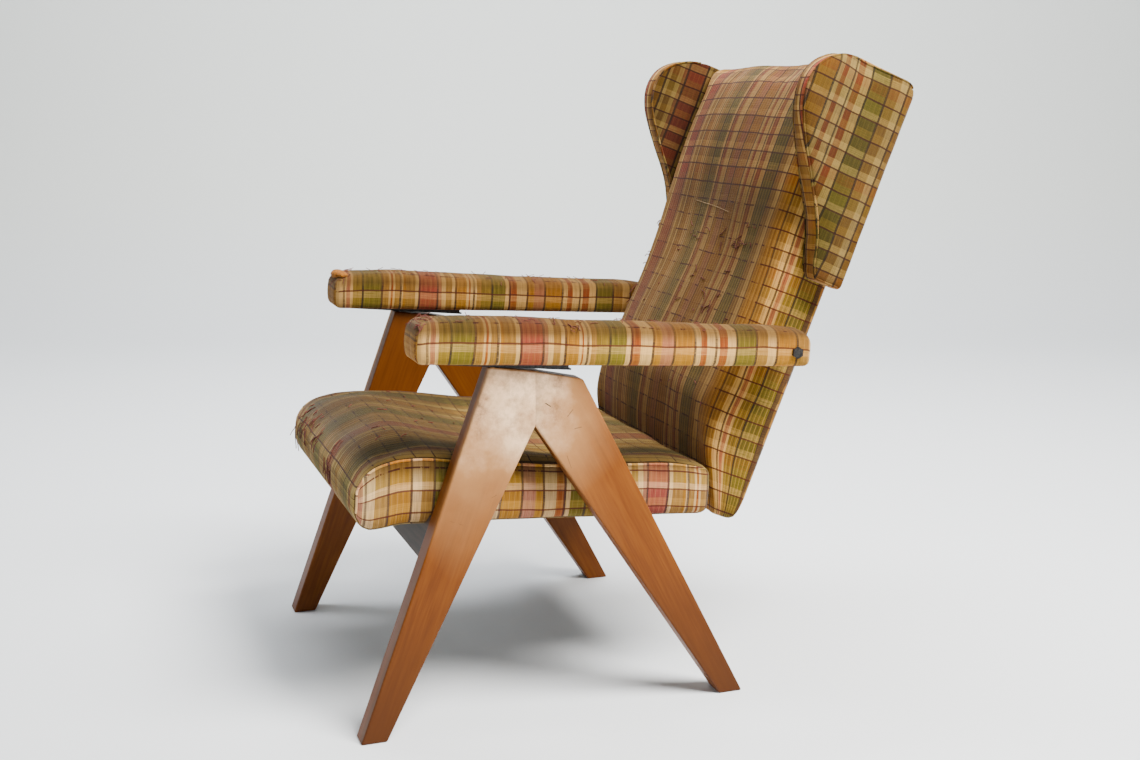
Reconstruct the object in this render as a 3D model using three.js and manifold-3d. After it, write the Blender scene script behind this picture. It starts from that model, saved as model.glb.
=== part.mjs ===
// A reclining wing armchair of the 1950s: two A-shaped leg frames of glued boards carry a seat on
// two stretchers. The back hangs on strap hinges at the rear of the seat, and each padded arm turns
// on a bolt in the back's side and slides with a runner on top of its leg frame.
// Millimetres, +Z up, the sitter faces -Y, the sitter's left is +X, the origin is on the floor.
import * as THREE from "three";
import { mergeVertices } from "three/addons/utils/BufferGeometryUtils.js";
import Module from "manifold-3d";

const wasm = await Module();
wasm.setup();

// Clearance between pieces that touch
const CLEAR = 0.3;

// Leg frames
const FRAME_HEIGHT = 530;
const FRAME_SPREAD = 594;
const FOOT_LENGTH = 38;
const LEG_THICKNESS = 36;
const TOP_FRONT = -102;
const TOP_REAR = 36;
const JOINT_AT = -36;
const JOINT_DROP = 9.5;
const REAR_DROP = 25;
const CROTCH_DROP = 88;

// Stretchers between the leg frames
const FRONT_STRETCHER_DEPTH = 22;
const FRONT_STRETCHER_DROP = 40;
const FRONT_STRETCHER_INSET = 2;
const REAR_STRETCHER_WIDTH = 44;
const REAR_STRETCHER_HEIGHT = 15;
const REAR_STRETCHER_AT = 150;

// Seat, measured from its rear bottom edge
const SEAT_REAR = 259;
const SEAT_REAR_HEIGHT = 268;
const SEAT_SLOPE = THREE.MathUtils.degToRad(3.75);
const SEAT_LENGTH = 551;
const SEAT_SIDE_GAP = 12;
const SEAT_FRONT_THICKNESS = 103;
const SEAT_REAR_THICKNESS = 81;
const SEAT_NOSE_DROOP = 7;
const SEAT_NOSE_REACH = 110;
const SEAT_NOSE_LEVEL = 41;
const SEAT_NOSE_UNDER = 22;
const SEAT_REAR_LEVEL = 32;
const SEAT_REAR_REACH = 24;
const SEAT_ROUND = 10;
const SEAT_CORNER = 18;
const SEAT_WALL = 16;
const SEAT_REAR_WALL = 22;
const SEAT_FRONT_WALL = 62;
const SEAT_RAIL_LIFT = 18;
const SEAT_RAIL_HEIGHT = 28;
const SEAT_RAIL_WIDTH = 24;
const CLOTH_THICKNESS = 1.4;

// Webbing straps on the seat frame and on the back frame
const STRAP_WIDTH = 46;
const STRAP_THICKNESS = 2.6;
const STRAP_SINK = 0.2;
const SEAT_STRAPS_ACROSS = 5;
const SEAT_STRAPS_ALONG = 4;
const BACK_STRAPS_ACROSS = 6;
const BACK_STRAPS_ALONG = 3;

// Back, measured up from its rear bottom edge
const BACK_RAKE = THREE.MathUtils.degToRad(22);
const BACK_WIDTH = 500;
const BACK_LENGTH = 722;
const BACK_THICKNESS = 102;
const BACK_TAPER_LENGTH = 122;
const BACK_TAPER_BLEND = 49;
const BACK_TAPER_KNEE = 37;
const BACK_FOOT_FRONT = 44;
const BACK_FOOT_TUCK = 10;
const BACK_ROUND = 10;
const BACK_TOP_ROUND = 34;
const BACK_WALL = 16;
const BACK_TOP_WALL = 26;
const BACK_BOTTOM_WALL = 22;
const POST_WIDTH = 24;
const POST_DEPTH = 66;
const POST_FOOT_DEPTH = 38;
const POST_TAPER_TOP = 110;
const BACK_RAIL_DEPTH = 34;
const BACK_RAIL_HEIGHT = 42;
const PANEL_INSET = 4;

// Wings on the sides of the back, measured along the back
const WING_THICKNESS = 38;
const WING_FOOT = 390;
const WING_TOP = 720;
const WING_FOOT_DEPTH = 50;
const WING_REACH = 186;
const WING_PEAK_DROP = 70;
const WING_TOP_SHARE = 0.66;
const WING_MIDDLE_SHARE = 0.7;
const WING_MIDDLE_AT = 0.46;
const WING_NECK_SHARE = 0.38;
const WING_NECK_AT = 0.2;
const WING_SWELL = 0.16;
const WING_ROUND = 9;
const WING_CORNER = 15;

// Arms, measured from the lower front edge
const ARM_GAP = 2;
const ARM_WIDTH = 75;
const ARM_FRONT = -213;
const ARM_TILT = THREE.MathUtils.degToRad(3.685);
const ARM_LENGTH = 605;
const ARM_FRONT_HEIGHT = 58;
const ARM_REAR_HEIGHT = 49;
const ARM_ROUND = 10;
const ARM_CORNER = 15;
const ARM_FRONT_CORNER = 24;
const ARM_CORE_WIDTH = 42;
const ARM_CORE_HEIGHT = 34;
const ARM_CORE_INSET = 11;
const RUNNER_WIDTH = 26;
const RUNNER_START = 20;
const RUNNER_END = 229;
const RUNNER_FRONT_THICKNESS = 1;
const RUNNER_REAR_THICKNESS = 8.5;
const RUNNER_LIP = 4;
const RUNNER_LIP_THICKNESS = 2.5;

// Pivot bolts through the arms
const BOLT_INSET = 28;
const BOLT_LIFT = 22.6;
const BOLT_RADIUS = 5;
const BOLT_HEAD_RADIUS = 9;
const BOLT_HEAD_SIDES = 6;
const BOLT_HEAD_HEIGHT = 5;
const BOLT_DEPTH = 34;
const WASHER_RADIUS = 13;

// Strap hinges between seat and back
const HINGE_INSET = 40;
const HINGE_WIDTH = 40;
const HINGE_BARREL = 5;
const HINGE_PIN = 2;
const HINGE_SETBACK = 14.5;
const HINGE_RISE = 13;
const HINGE_KNUCKLE = 15;
const LEAF_THICKNESS = 2.6;
const SEAT_LEAF_LENGTH = 60;
const BACK_LEAF_LENGTH = 52;

// Places across the chair
const backHalf = BACK_WIDTH / 2;
const armInner = backHalf + ARM_GAP;
const armOuter = armInner + ARM_WIDTH;
const armMiddle = (armInner + armOuter) / 2;
const frameInner = armMiddle - LEG_THICKNESS / 2;
const frameOuter = armMiddle + LEG_THICKNESS / 2;
const seatHalf = frameInner - SEAT_SIDE_GAP;
const postOuter = backHalf - BACK_WALL - CLEAR;
const postInner = postOuter - POST_WIDTH;
const hingeMiddle = postInner - HINGE_INSET;

// Materials
function material(color, roughness, metalness = 0) {
  return new THREE.MeshStandardMaterial({ color, roughness, metalness });
}
const stainedWood = material(0x9a5a2a, 0.45);
const darkWood = material(0x2b1d15, 0.6);
const rawWood = material(0xb08a5c, 0.75);
const plaidCloth = material(0x9c8450, 0.95);
const jute = material(0x9b8156, 0.95);
const blackCloth = material(0x1e1c1b, 0.95);
const blackSteel = material(0x1a1a1b, 0.45, 0.8);

// Solids, cuts and joins
function toSolid(geometry) {
  const bare = geometry.clone();
  bare.deleteAttribute("normal");
  bare.deleteAttribute("uv");
  const merged = mergeVertices(bare, 1e-4);
  return new wasm.Manifold(new wasm.Mesh({
    numProp: 3,
    vertProperties: new Float32Array(merged.attributes.position.array),
    triVerts: new Uint32Array(merged.index.array),
  }));
}

function toGeometry(solid) {
  const mesh = solid.getMesh();
  const geometry = new THREE.BufferGeometry();
  geometry.setAttribute("position", new THREE.BufferAttribute(mesh.vertProperties, 3));
  geometry.setIndex(new THREE.BufferAttribute(mesh.triVerts, 1));
  return geometry;
}

function cut(geometry, cutters) {
  return toGeometry(cutters.reduce((solid, cutter) => solid.subtract(toSolid(cutter)), toSolid(geometry)));
}

function join(geometries) {
  const solids = geometries.map(toSolid);
  return toGeometry(solids.reduce((sum, solid) => sum.add(solid)));
}

// A side profile drawn in (y, z), given width along x and, for soft pieces, rounded at both sides
const acrossX = new THREE.Matrix4().makeBasis(
  new THREE.Vector3(0, 1, 0),
  new THREE.Vector3(0, 0, 1),
  new THREE.Vector3(1, 0, 0),
);

function prism(profile, x0, x1, round = 0, curveSegments = 6) {
  const geometry = new THREE.ExtrudeGeometry(profile, {
    depth: x1 - x0 - 2 * round,
    bevelEnabled: round > 0,
    bevelThickness: round,
    bevelSize: round,
    bevelOffset: -round,
    bevelSegments: 3,
    curveSegments,
  });
  geometry.translate(0, 0, x0 + round);
  return geometry.applyMatrix4(acrossX);
}

function polygon(points) {
  return new THREE.Shape(points.map(([y, z]) => new THREE.Vector2(y, z)));
}

function box(x0, x1, y0, y1, z0, z1) {
  const geometry = new THREE.BoxGeometry(x1 - x0, y1 - y0, z1 - z0);
  return geometry.translate((x0 + x1) / 2, (y0 + y1) / 2, (z0 + z1) / 2);
}

function rod(x0, x1, y, z, radius, sides = 20) {
  const geometry = new THREE.CylinderGeometry(radius, radius, x1 - x0, sides);
  return geometry.rotateZ(Math.PI / 2).translate((x0 + x1) / 2, y, z);
}

// A range across the chair on the sitter's left (side 1) or right (side -1)
function across(side, near, far) {
  return side > 0 ? [near, far] : [-far, -near];
}

function add(group, name, geometry, look) {
  const mesh = new THREE.Mesh(geometry, look);
  mesh.name = name;
  group.add(mesh);
}

// Groups: the seat, the back and the arms each lie at their own angle
const chair = new THREE.Group();
const legs = new THREE.Group();
const seat = new THREE.Group();
seat.position.set(0, SEAT_REAR, SEAT_REAR_HEIGHT);
seat.rotation.x = -SEAT_SLOPE;
const back = new THREE.Group();
back.rotation.x = -BACK_RAKE;
const arms = new THREE.Group();
const boltAt = ARM_LENGTH - BOLT_INSET;
const runnerSlope = (RUNNER_REAR_THICKNESS - RUNNER_FRONT_THICKNESS) / (RUNNER_END - RUNNER_START);
const runnerDepthAtTop = (TOP_FRONT - ARM_FRONT - RUNNER_START) * runnerSlope + RUNNER_FRONT_THICKNESS;
const armDrop = (TOP_FRONT - ARM_FRONT) * Math.tan(ARM_TILT);
arms.position.set(0, ARM_FRONT, FRAME_HEIGHT + armDrop + runnerDepthAtTop + 3 * CLEAR);
arms.rotation.x = -ARM_TILT;
chair.add(legs, seat, back, arms);
chair.updateMatrixWorld(true);

// The hinge axis, under the seat frame and in front of the back's bottom rail, carries the back
const leafTop = SEAT_RAIL_LIFT - CLOTH_THICKNESS - 2 * CLEAR;
const leafBottom = leafTop - LEAF_THICKNESS;
const frameBehind = -PANEL_INSET - CLOTH_THICKNESS - CLEAR;
const railFace = frameBehind - BACK_RAIL_DEPTH;
const leafFace = railFace - CLEAR;
const hingeY = HINGE_SETBACK;
const hingeZ = leafTop - HINGE_BARREL;
const hingeInBack = new THREE.Vector3(0, leafFace - HINGE_BARREL, HINGE_RISE);
const hingeAt = seat.localToWorld(new THREE.Vector3(0, hingeY, hingeZ));
back.position.copy(hingeAt).sub(hingeInBack.clone().applyEuler(back.rotation));
back.updateMatrixWorld(true);

function moved(geometry, from, to) {
  const matrix = to.matrixWorld.clone().invert().multiply(from.matrixWorld);
  return geometry.clone().applyMatrix4(matrix);
}

// Leg frames: a front and a rear board that taper to the feet and meet in an upright glued joint
const frontFoot = -FRAME_SPREAD / 2;
const rearFoot = FRAME_SPREAD / 2;
const crotch = FRAME_HEIGHT - CROTCH_DROP;
const jointTop = FRAME_HEIGHT - JOINT_DROP;
const frontLegProfile = polygon([
  [frontFoot, 0],
  [frontFoot + FOOT_LENGTH, 0],
  [JOINT_AT, crotch],
  [JOINT_AT, jointTop],
  [TOP_FRONT, FRAME_HEIGHT],
]);
const rearLegProfile = polygon([
  [rearFoot - FOOT_LENGTH, 0],
  [rearFoot, 0],
  [TOP_REAR, FRAME_HEIGHT - REAR_DROP],
  [JOINT_AT + CLEAR, jointTop],
  [JOINT_AT + CLEAR, crotch],
]);
const sides = [["left", 1], ["right", -1]];
for (const [name, side] of sides) {
  const width = across(side, frameInner, frameOuter);
  add(legs, `${name}_front_leg`, prism(frontLegProfile, ...width), stainedWood);
  add(legs, `${name}_rear_leg`, prism(rearLegProfile, ...width), stainedWood);
}

// Stretchers: the front one leans with the front edge of the legs, the rear one is a flat batten
const stretcherTop = leafTop;
const stretcherEnd = frameInner - CLEAR;
const legLean = (TOP_FRONT - frontFoot) / FRAME_HEIGHT;
function frontStretcherProfile(grow) {
  const seatRise = Math.tan(SEAT_SLOPE);
  const topAt = (z) => frontFoot + z * legLean + FRONT_STRETCHER_INSET;
  const flatTop = SEAT_REAR_HEIGHT + stretcherTop / Math.cos(SEAT_SLOPE);
  const high = (flatTop + (SEAT_REAR - frontFoot) * seatRise) / (1 + legLean * seatRise) - CLEAR;
  const low = SEAT_REAR_HEIGHT + (SEAT_REAR - topAt(high)) * seatRise - FRONT_STRETCHER_DROP;
  const highRear = high - FRONT_STRETCHER_DEPTH * seatRise;
  return polygon([
    [topAt(low) - grow, low - grow],
    [topAt(low) + FRONT_STRETCHER_DEPTH + grow, low - grow],
    [topAt(high) + FRONT_STRETCHER_DEPTH + grow, highRear + grow],
    [topAt(high) - grow, high - FRONT_STRETCHER_INSET * seatRise + grow],
  ]);
}
function rearStretcher(reach, grow) {
  const half = REAR_STRETCHER_WIDTH / 2 + grow;
  return box(-reach, reach, -REAR_STRETCHER_AT - half, -REAR_STRETCHER_AT + half,
    stretcherTop - REAR_STRETCHER_HEIGHT - grow, stretcherTop + grow);
}
add(legs, "front_stretcher", prism(frontStretcherProfile(0), -stretcherEnd, stretcherEnd), darkWood);
add(seat, "rear_stretcher", rearStretcher(stretcherEnd, 0), darkWood);

// Seat: a padded block, hollow underneath, on a frame of four rails with webbing and a dust cloth
const railBottom = SEAT_RAIL_LIFT;
const railTop = railBottom + SEAT_RAIL_HEIGHT;
const frameHalf = seatHalf - SEAT_WALL - CLEAR;
const frameRear = -SEAT_REAR_WALL - CLEAR;
const frameFront = -SEAT_LENGTH + SEAT_FRONT_WALL + CLEAR;
const strapTop = railTop + CLEAR + STRAP_THICKNESS;

function seatProfile() {
  const nose = -SEAT_LENGTH;
  const shape = new THREE.Shape();
  shape.moveTo(-SEAT_CORNER, 0);
  shape.quadraticCurveTo(0, 0, 0, SEAT_REAR_LEVEL);
  shape.quadraticCurveTo(0, SEAT_REAR_THICKNESS, -SEAT_REAR_REACH, SEAT_REAR_THICKNESS);
  shape.lineTo(nose + SEAT_NOSE_REACH, SEAT_FRONT_THICKNESS);
  shape.quadraticCurveTo(nose, SEAT_FRONT_THICKNESS, nose, SEAT_NOSE_LEVEL);
  shape.quadraticCurveTo(nose, -SEAT_NOSE_DROOP, nose + SEAT_NOSE_UNDER, -SEAT_NOSE_DROOP);
  shape.quadraticCurveTo(nose + 2 * SEAT_NOSE_UNDER, -SEAT_NOSE_DROOP, nose + SEAT_FRONT_WALL, 0);
  return shape;
}

function webbing(halfWidth, from, to, level, countAcross, countAlong, upright) {
  const straps = [];
  const place = (x0, x1, u0, u1, sunk) => {
    const low = level + sunk;
    const high = level + STRAP_THICKNESS - sunk;
    return upright ? box(x0, x1, low, high, u0, u1) : box(x0, x1, u0, u1, low, high);
  };
  for (let i = 1; i <= countAcross; i += 1) {
    const middle = from + ((to - from) * i) / (countAcross + 1);
    straps.push(place(-halfWidth, halfWidth, middle - STRAP_WIDTH / 2, middle + STRAP_WIDTH / 2, 0));
  }
  for (let i = 1; i <= countAlong; i += 1) {
    const middle = -halfWidth + (2 * halfWidth * i) / (countAlong + 1);
    straps.push(place(middle - STRAP_WIDTH / 2, middle + STRAP_WIDTH / 2, from, to, STRAP_SINK));
  }
  return join(straps);
}

function hingeSpan(side, grow) {
  return across(side, hingeMiddle - HINGE_WIDTH / 2 - grow, hingeMiddle + HINGE_WIDTH / 2 + grow);
}
const seatHollow = box(-frameHalf - CLEAR, frameHalf + CLEAR, frameFront - CLEAR, frameRear + CLEAR,
  -SEAT_FRONT_THICKNESS, strapTop + CLEAR);
const stretcherNotch = moved(
  prism(frontStretcherProfile(CLEAR), -frameInner, frameInner), legs, seat);
const leafNotches = sides.map(([, side]) => box(...hingeSpan(side, CLEAR),
  frameRear - CLEAR, HINGE_BARREL, -SEAT_NOSE_DROOP, leafTop + CLEAR));
const seatPad = cut(prism(seatProfile(), -seatHalf, seatHalf, SEAT_ROUND),
  [seatHollow, stretcherNotch, rearStretcher(frameInner, CLEAR), ...leafNotches]);
add(seat, "seat_pad", seatPad, plaidCloth);

const railInner = frameHalf - SEAT_RAIL_WIDTH;
for (const [name, side] of sides) {
  add(seat, `seat_${name}_rail`, box(...across(side, railInner, frameHalf),
    frameFront, frameRear, railBottom, railTop), rawWood);
}
const crossEnd = railInner - CLEAR;
add(seat, "seat_front_rail", box(-crossEnd, crossEnd, frameFront, frameFront + SEAT_RAIL_WIDTH,
  railBottom, railTop), rawWood);
add(seat, "seat_rear_rail", box(-crossEnd, crossEnd, frameRear - SEAT_RAIL_WIDTH, frameRear,
  railBottom, railTop), rawWood);
add(seat, "seat_webbing", webbing(frameHalf, frameFront, frameRear, railTop + CLEAR,
  SEAT_STRAPS_ACROSS, SEAT_STRAPS_ALONG, false), jute);
add(seat, "seat_dust_cloth", box(-frameHalf, frameHalf, frameFront, frameRear,
  railBottom - CLEAR - CLOTH_THICKNESS, railBottom - CLEAR), blackCloth);

// Back: a padded slab, hollow behind, that tapers to its foot; local +y is the rear face
function backProfile() {
  const front = -BACK_THICKNESS;
  const shape = new THREE.Shape();
  shape.moveTo(0, BACK_TAPER_BLEND);
  shape.lineTo(0, BACK_LENGTH - BACK_TOP_ROUND);
  shape.quadraticCurveTo(0, BACK_LENGTH, -BACK_TOP_ROUND, BACK_LENGTH);
  shape.lineTo(front + BACK_TOP_ROUND, BACK_LENGTH);
  shape.quadraticCurveTo(front, BACK_LENGTH, front, BACK_LENGTH - BACK_TOP_ROUND);
  shape.lineTo(front, BACK_TAPER_LENGTH + BACK_TAPER_BLEND);
  shape.quadraticCurveTo(front, BACK_TAPER_LENGTH, front + BACK_ROUND, BACK_TAPER_LENGTH - BACK_TAPER_KNEE);
  shape.lineTo(-BACK_FOOT_FRONT, 0);
  shape.lineTo(-BACK_FOOT_TUCK, 0);
  return shape;
}

const backFrameTop = BACK_LENGTH - BACK_TOP_WALL;
const backStraps = railFace - CLEAR - STRAP_THICKNESS;
const railsFrom = BACK_BOTTOM_WALL + CLEAR;

function postProfile(grow, behind) {
  return polygon([
    [behind, BACK_BOTTOM_WALL + CLEAR - grow],
    [behind, backFrameTop + grow],
    [frameBehind - POST_DEPTH - grow, backFrameTop + grow],
    [frameBehind - POST_DEPTH - grow, POST_TAPER_TOP],
    [frameBehind - POST_FOOT_DEPTH - grow, BACK_BOTTOM_WALL + CLEAR - grow],
  ]);
}

function boltRod(side, x0, x1, radius, group) {
  return moved(rod(...across(side, x0, x1), boltAt, BOLT_LIFT, radius), arms, group);
}
const boltEnd = backHalf - BOLT_DEPTH;
const beyond = BACK_THICKNESS;

const backHollow = box(-postInner, postInner, backStraps - CLEAR, beyond,
  BACK_BOTTOM_WALL, backFrameTop + CLEAR);
const postHollows = sides.map(([, side]) => prism(postProfile(CLEAR, beyond),
  ...across(side, postInner - CLEAR, postOuter + CLEAR)));
const boltHoles = sides.map(([, side]) => boltRod(side, postInner, armInner, BOLT_RADIUS + CLEAR, back));
const barrelRoom = HINGE_BARREL + LEAF_THICKNESS;
const hingeNotches = sides.map(([, side]) => box(...hingeSpan(side, CLEAR),
  hingeInBack.y - BACK_THICKNESS, railFace, -BACK_BOTTOM_WALL, hingeInBack.z + barrelRoom));
const leafSlots = sides.map(([, side]) => box(...hingeSpan(side, CLEAR),
  railFace - LEAF_THICKNESS - 2 * CLEAR, railFace, 0, BACK_LEAF_LENGTH + railsFrom + CLEAR));
const backPad = cut(prism(backProfile(), -backHalf, backHalf, BACK_ROUND),
  [backHollow, ...postHollows, ...boltHoles, ...hingeNotches, ...leafSlots]);
add(back, "back_pad", backPad, plaidCloth);

for (const [name, side] of sides) {
  const post = prism(postProfile(0, frameBehind), ...across(side, postInner, postOuter));
  const hole = boltRod(side, boltEnd - CLEAR, armInner, BOLT_RADIUS + CLEAR, back);
  add(back, `back_${name}_post`, cut(post, [hole]), rawWood);
}
const backRailEnd = postInner - CLEAR;
add(back, "back_bottom_rail", box(-backRailEnd, backRailEnd, railFace, frameBehind,
  railsFrom, railsFrom + BACK_RAIL_HEIGHT), rawWood);
add(back, "back_top_rail", box(-backRailEnd, backRailEnd, railFace, frameBehind,
  backFrameTop - BACK_RAIL_HEIGHT, backFrameTop), rawWood);
add(back, "back_webbing", webbing(postInner - CLEAR, railsFrom + BACK_LEAF_LENGTH + 2 * CLEAR, backFrameTop,
  backStraps, BACK_STRAPS_ACROSS, BACK_STRAPS_ALONG, true), jute);
add(back, "back_panel_cloth", box(-postOuter, postOuter, -PANEL_INSET - CLOTH_THICKNESS, -PANEL_INSET,
  railsFrom, backFrameTop), plaidCloth);

// Wings: padded boards on the sides of the back that reach forward beside the head
function wingProfile() {
  const reach = -WING_REACH;
  const height = WING_TOP - WING_FOOT;
  const peak = WING_TOP - WING_PEAK_DROP;
  const shape = new THREE.Shape();
  shape.moveTo(0, WING_FOOT + WING_CORNER);
  shape.lineTo(0, WING_TOP - WING_CORNER);
  shape.quadraticCurveTo(0, WING_TOP, -WING_CORNER, WING_TOP);
  shape.lineTo(reach * WING_TOP_SHARE, WING_TOP);
  shape.quadraticCurveTo(reach, WING_TOP, reach, peak);
  shape.quadraticCurveTo(reach, peak - height * WING_SWELL,
    reach * WING_MIDDLE_SHARE, WING_FOOT + height * WING_MIDDLE_AT);
  shape.quadraticCurveTo(reach * WING_NECK_SHARE, WING_FOOT + height * WING_NECK_AT,
    -WING_FOOT_DEPTH, WING_FOOT + WING_CORNER);
  shape.quadraticCurveTo(-WING_FOOT_DEPTH, WING_FOOT, WING_CORNER - WING_FOOT_DEPTH, WING_FOOT);
  shape.lineTo(-WING_CORNER, WING_FOOT);
  shape.quadraticCurveTo(0, WING_FOOT, 0, WING_FOOT + WING_CORNER);
  return shape;
}
for (const [name, side] of sides) {
  const width = across(side, backHalf + CLEAR, backHalf + CLEAR + WING_THICKNESS);
  add(back, `${name}_wing`, prism(wingProfile(), ...width, WING_ROUND), plaidCloth);
}

// Arms: a board inside a padded cover that is open underneath, with a wedge runner screwed below
function armProfile() {
  const end = ARM_LENGTH;
  const shape = new THREE.Shape();
  shape.moveTo(ARM_CORNER, 0);
  shape.lineTo(end - ARM_CORNER, 0);
  shape.quadraticCurveTo(end, 0, end, ARM_CORNER);
  shape.lineTo(end, ARM_REAR_HEIGHT - ARM_CORNER);
  shape.quadraticCurveTo(end, ARM_REAR_HEIGHT, end - ARM_CORNER, ARM_REAR_HEIGHT);
  shape.lineTo(ARM_FRONT_CORNER, ARM_FRONT_HEIGHT);
  shape.quadraticCurveTo(0, ARM_FRONT_HEIGHT, 0, ARM_FRONT_HEIGHT - ARM_FRONT_CORNER);
  shape.lineTo(0, ARM_CORNER);
  shape.quadraticCurveTo(0, 0, ARM_CORNER, 0);
  return shape;
}
const runnerProfile = polygon([
  [RUNNER_START, -CLEAR],
  [RUNNER_START, -CLEAR - RUNNER_FRONT_THICKNESS],
  [RUNNER_END + RUNNER_LIP, -CLEAR - RUNNER_REAR_THICKNESS],
  [RUNNER_END + RUNNER_LIP, -CLEAR - RUNNER_REAR_THICKNESS + RUNNER_LIP_THICKNESS],
  [RUNNER_END, -CLEAR - RUNNER_REAR_THICKNESS + RUNNER_LIP_THICKNESS],
  [RUNNER_END, -CLEAR],
]);
for (const [name, side] of sides) {
  const coreWidth = [armMiddle - ARM_CORE_WIDTH / 2, armMiddle + ARM_CORE_WIDTH / 2];
  const hole = rod(...across(side, backHalf, armOuter + ARM_GAP), boltAt, BOLT_LIFT, BOLT_RADIUS + CLEAR);
  const core = box(...across(side, ...coreWidth), ARM_CORE_INSET, ARM_LENGTH - ARM_CORE_INSET,
    0, ARM_CORE_HEIGHT);
  const hollow = box(...across(side, coreWidth[0] - CLEAR, coreWidth[1] + CLEAR),
    ARM_CORE_INSET - CLEAR, ARM_LENGTH - ARM_CORE_INSET + CLEAR, -ARM_ROUND, ARM_CORE_HEIGHT + CLEAR);
  const cover = prism(armProfile(), ...across(side, armInner, armOuter), ARM_ROUND);
  add(arms, `${name}_arm_pad`, cut(cover, [hollow, hole]), plaidCloth);
  add(arms, `${name}_arm_core`, cut(core, [hole]), rawWood);
  add(arms, `${name}_arm_runner`, prism(runnerProfile,
    ...across(side, armMiddle - RUNNER_WIDTH / 2, armMiddle + RUNNER_WIDTH / 2)), blackSteel);

  const headStart = armOuter + CLEAR;
  const shank = rod(...across(side, boltEnd, headStart + 1), boltAt, BOLT_LIFT, BOLT_RADIUS);
  const headEnd = headStart + BOLT_HEAD_HEIGHT;
  const head = rod(...across(side, headStart, headEnd), boltAt, BOLT_LIFT, BOLT_HEAD_RADIUS,
    BOLT_HEAD_SIDES);
  add(arms, `${name}_pivot_bolt`, join([shank, head]), blackSteel);
  const washer = rod(...across(side, backHalf + CLEAR, armInner - CLEAR), boltAt, BOLT_LIFT, WASHER_RADIUS);
  add(arms, `${name}_pivot_washer`, cut(washer, [hole]), blackSteel);
}

// Strap hinges: one leaf under the seat frame, one on the back's bottom rail, and a pin
for (const [name, side] of sides) {
  const first = hingeMiddle - HINGE_WIDTH / 2;
  const last = hingeMiddle + HINGE_WIDTH / 2;
  const knuckle = [hingeMiddle - HINGE_KNUCKLE / 2, hingeMiddle + HINGE_KNUCKLE / 2];
  const bore = rod(...across(side, first - 1, last + 1), hingeY, hingeZ, HINGE_PIN + CLEAR);
  const middleRoom = rod(...across(side, knuckle[0] - CLEAR, knuckle[1] + CLEAR), hingeY, hingeZ,
    HINGE_BARREL + LEAF_THICKNESS);
  const seatLeaf = cut(join([
    box(...across(side, first, last), frameRear - SEAT_LEAF_LENGTH, hingeY, leafBottom, leafTop),
    rod(...across(side, first, last), hingeY, hingeZ, HINGE_BARREL),
  ]), [bore, middleRoom]);
  add(seat, `${name}_hinge_seat_leaf`, seatLeaf, blackSteel);

  const backBarrel = moved(rod(...across(side, ...knuckle), hingeY, hingeZ, HINGE_BARREL), seat, back);
  const backBore = moved(bore, seat, back);
  const backLeaf = cut(join([
    box(...across(side, ...knuckle), leafFace - LEAF_THICKNESS, leafFace, hingeInBack.z,
      railsFrom + BACK_LEAF_LENGTH),
    backBarrel,
  ]), [backBore]);
  add(back, `${name}_hinge_back_leaf`, backLeaf, blackSteel);
  add(seat, `${name}_hinge_pin`, rod(...across(side, first, last), hingeY, hingeZ, HINGE_PIN), blackSteel);
}

// Stand the chair over the middle of its own footprint
const bounds = new THREE.Box3().setFromObject(chair, true);
chair.position.y = -(bounds.min.y + bounds.max.y) / 2;

export default chair;
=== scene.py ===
# %% [markdown]
# A worn plaid wing armchair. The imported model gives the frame: leg boards, rails, hinges and bolts at
# their true places. This lesson dresses it: padded pieces with woven plaid, varnished wood that is worn
# pale at the top, loose threads and a torn arm front, then a plain studio.

# %% Load the frame
import math
import random

import bmesh
import bpy
import numpy as np
from mathutils import Matrix, Vector, noise
from mathutils.bvhtree import BVHTree


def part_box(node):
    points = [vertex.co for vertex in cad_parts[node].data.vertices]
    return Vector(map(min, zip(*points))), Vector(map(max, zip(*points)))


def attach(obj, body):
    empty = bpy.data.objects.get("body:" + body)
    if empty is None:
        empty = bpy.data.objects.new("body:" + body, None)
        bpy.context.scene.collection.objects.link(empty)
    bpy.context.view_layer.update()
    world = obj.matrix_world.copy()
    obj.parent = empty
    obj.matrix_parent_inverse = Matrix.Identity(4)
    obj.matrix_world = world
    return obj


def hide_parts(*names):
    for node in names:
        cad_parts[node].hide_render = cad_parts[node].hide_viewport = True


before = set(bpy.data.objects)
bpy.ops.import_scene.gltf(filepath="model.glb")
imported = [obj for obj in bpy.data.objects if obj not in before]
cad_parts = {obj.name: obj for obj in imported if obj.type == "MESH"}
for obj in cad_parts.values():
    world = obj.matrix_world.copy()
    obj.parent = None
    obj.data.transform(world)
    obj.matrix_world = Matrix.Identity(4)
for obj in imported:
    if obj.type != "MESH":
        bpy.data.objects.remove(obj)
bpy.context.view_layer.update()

# %% [markdown]
# Meshes are made with Blender's bmesh operators, and vectors and soft noise come from mathutils.

# %% [markdown]
# The seat, the back and the arms each lie at their own angle, so each is modelled flat in its own
# coordinates (y to the rear, z up, metres) and then set in place by one matrix.

# %% Places and angles of the padded pieces
SEAT_SLOPE = math.radians(3.75)
BACK_RAKE = math.radians(22)
ARM_TILT = math.radians(3.685)


def placed(y, z, tilt):
    return Matrix.Translation((0, y, z)) @ Matrix.Rotation(-tilt, 4, "X")


seat_place = placed(0.11936, 0.268, SEAT_SLOPE)
back_place = placed(0.17140, 0.24912, BACK_RAKE)
arm_place = placed(-0.35264, 0.54231, ARM_TILT)
print("seat, back and arm frames ready")

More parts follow.
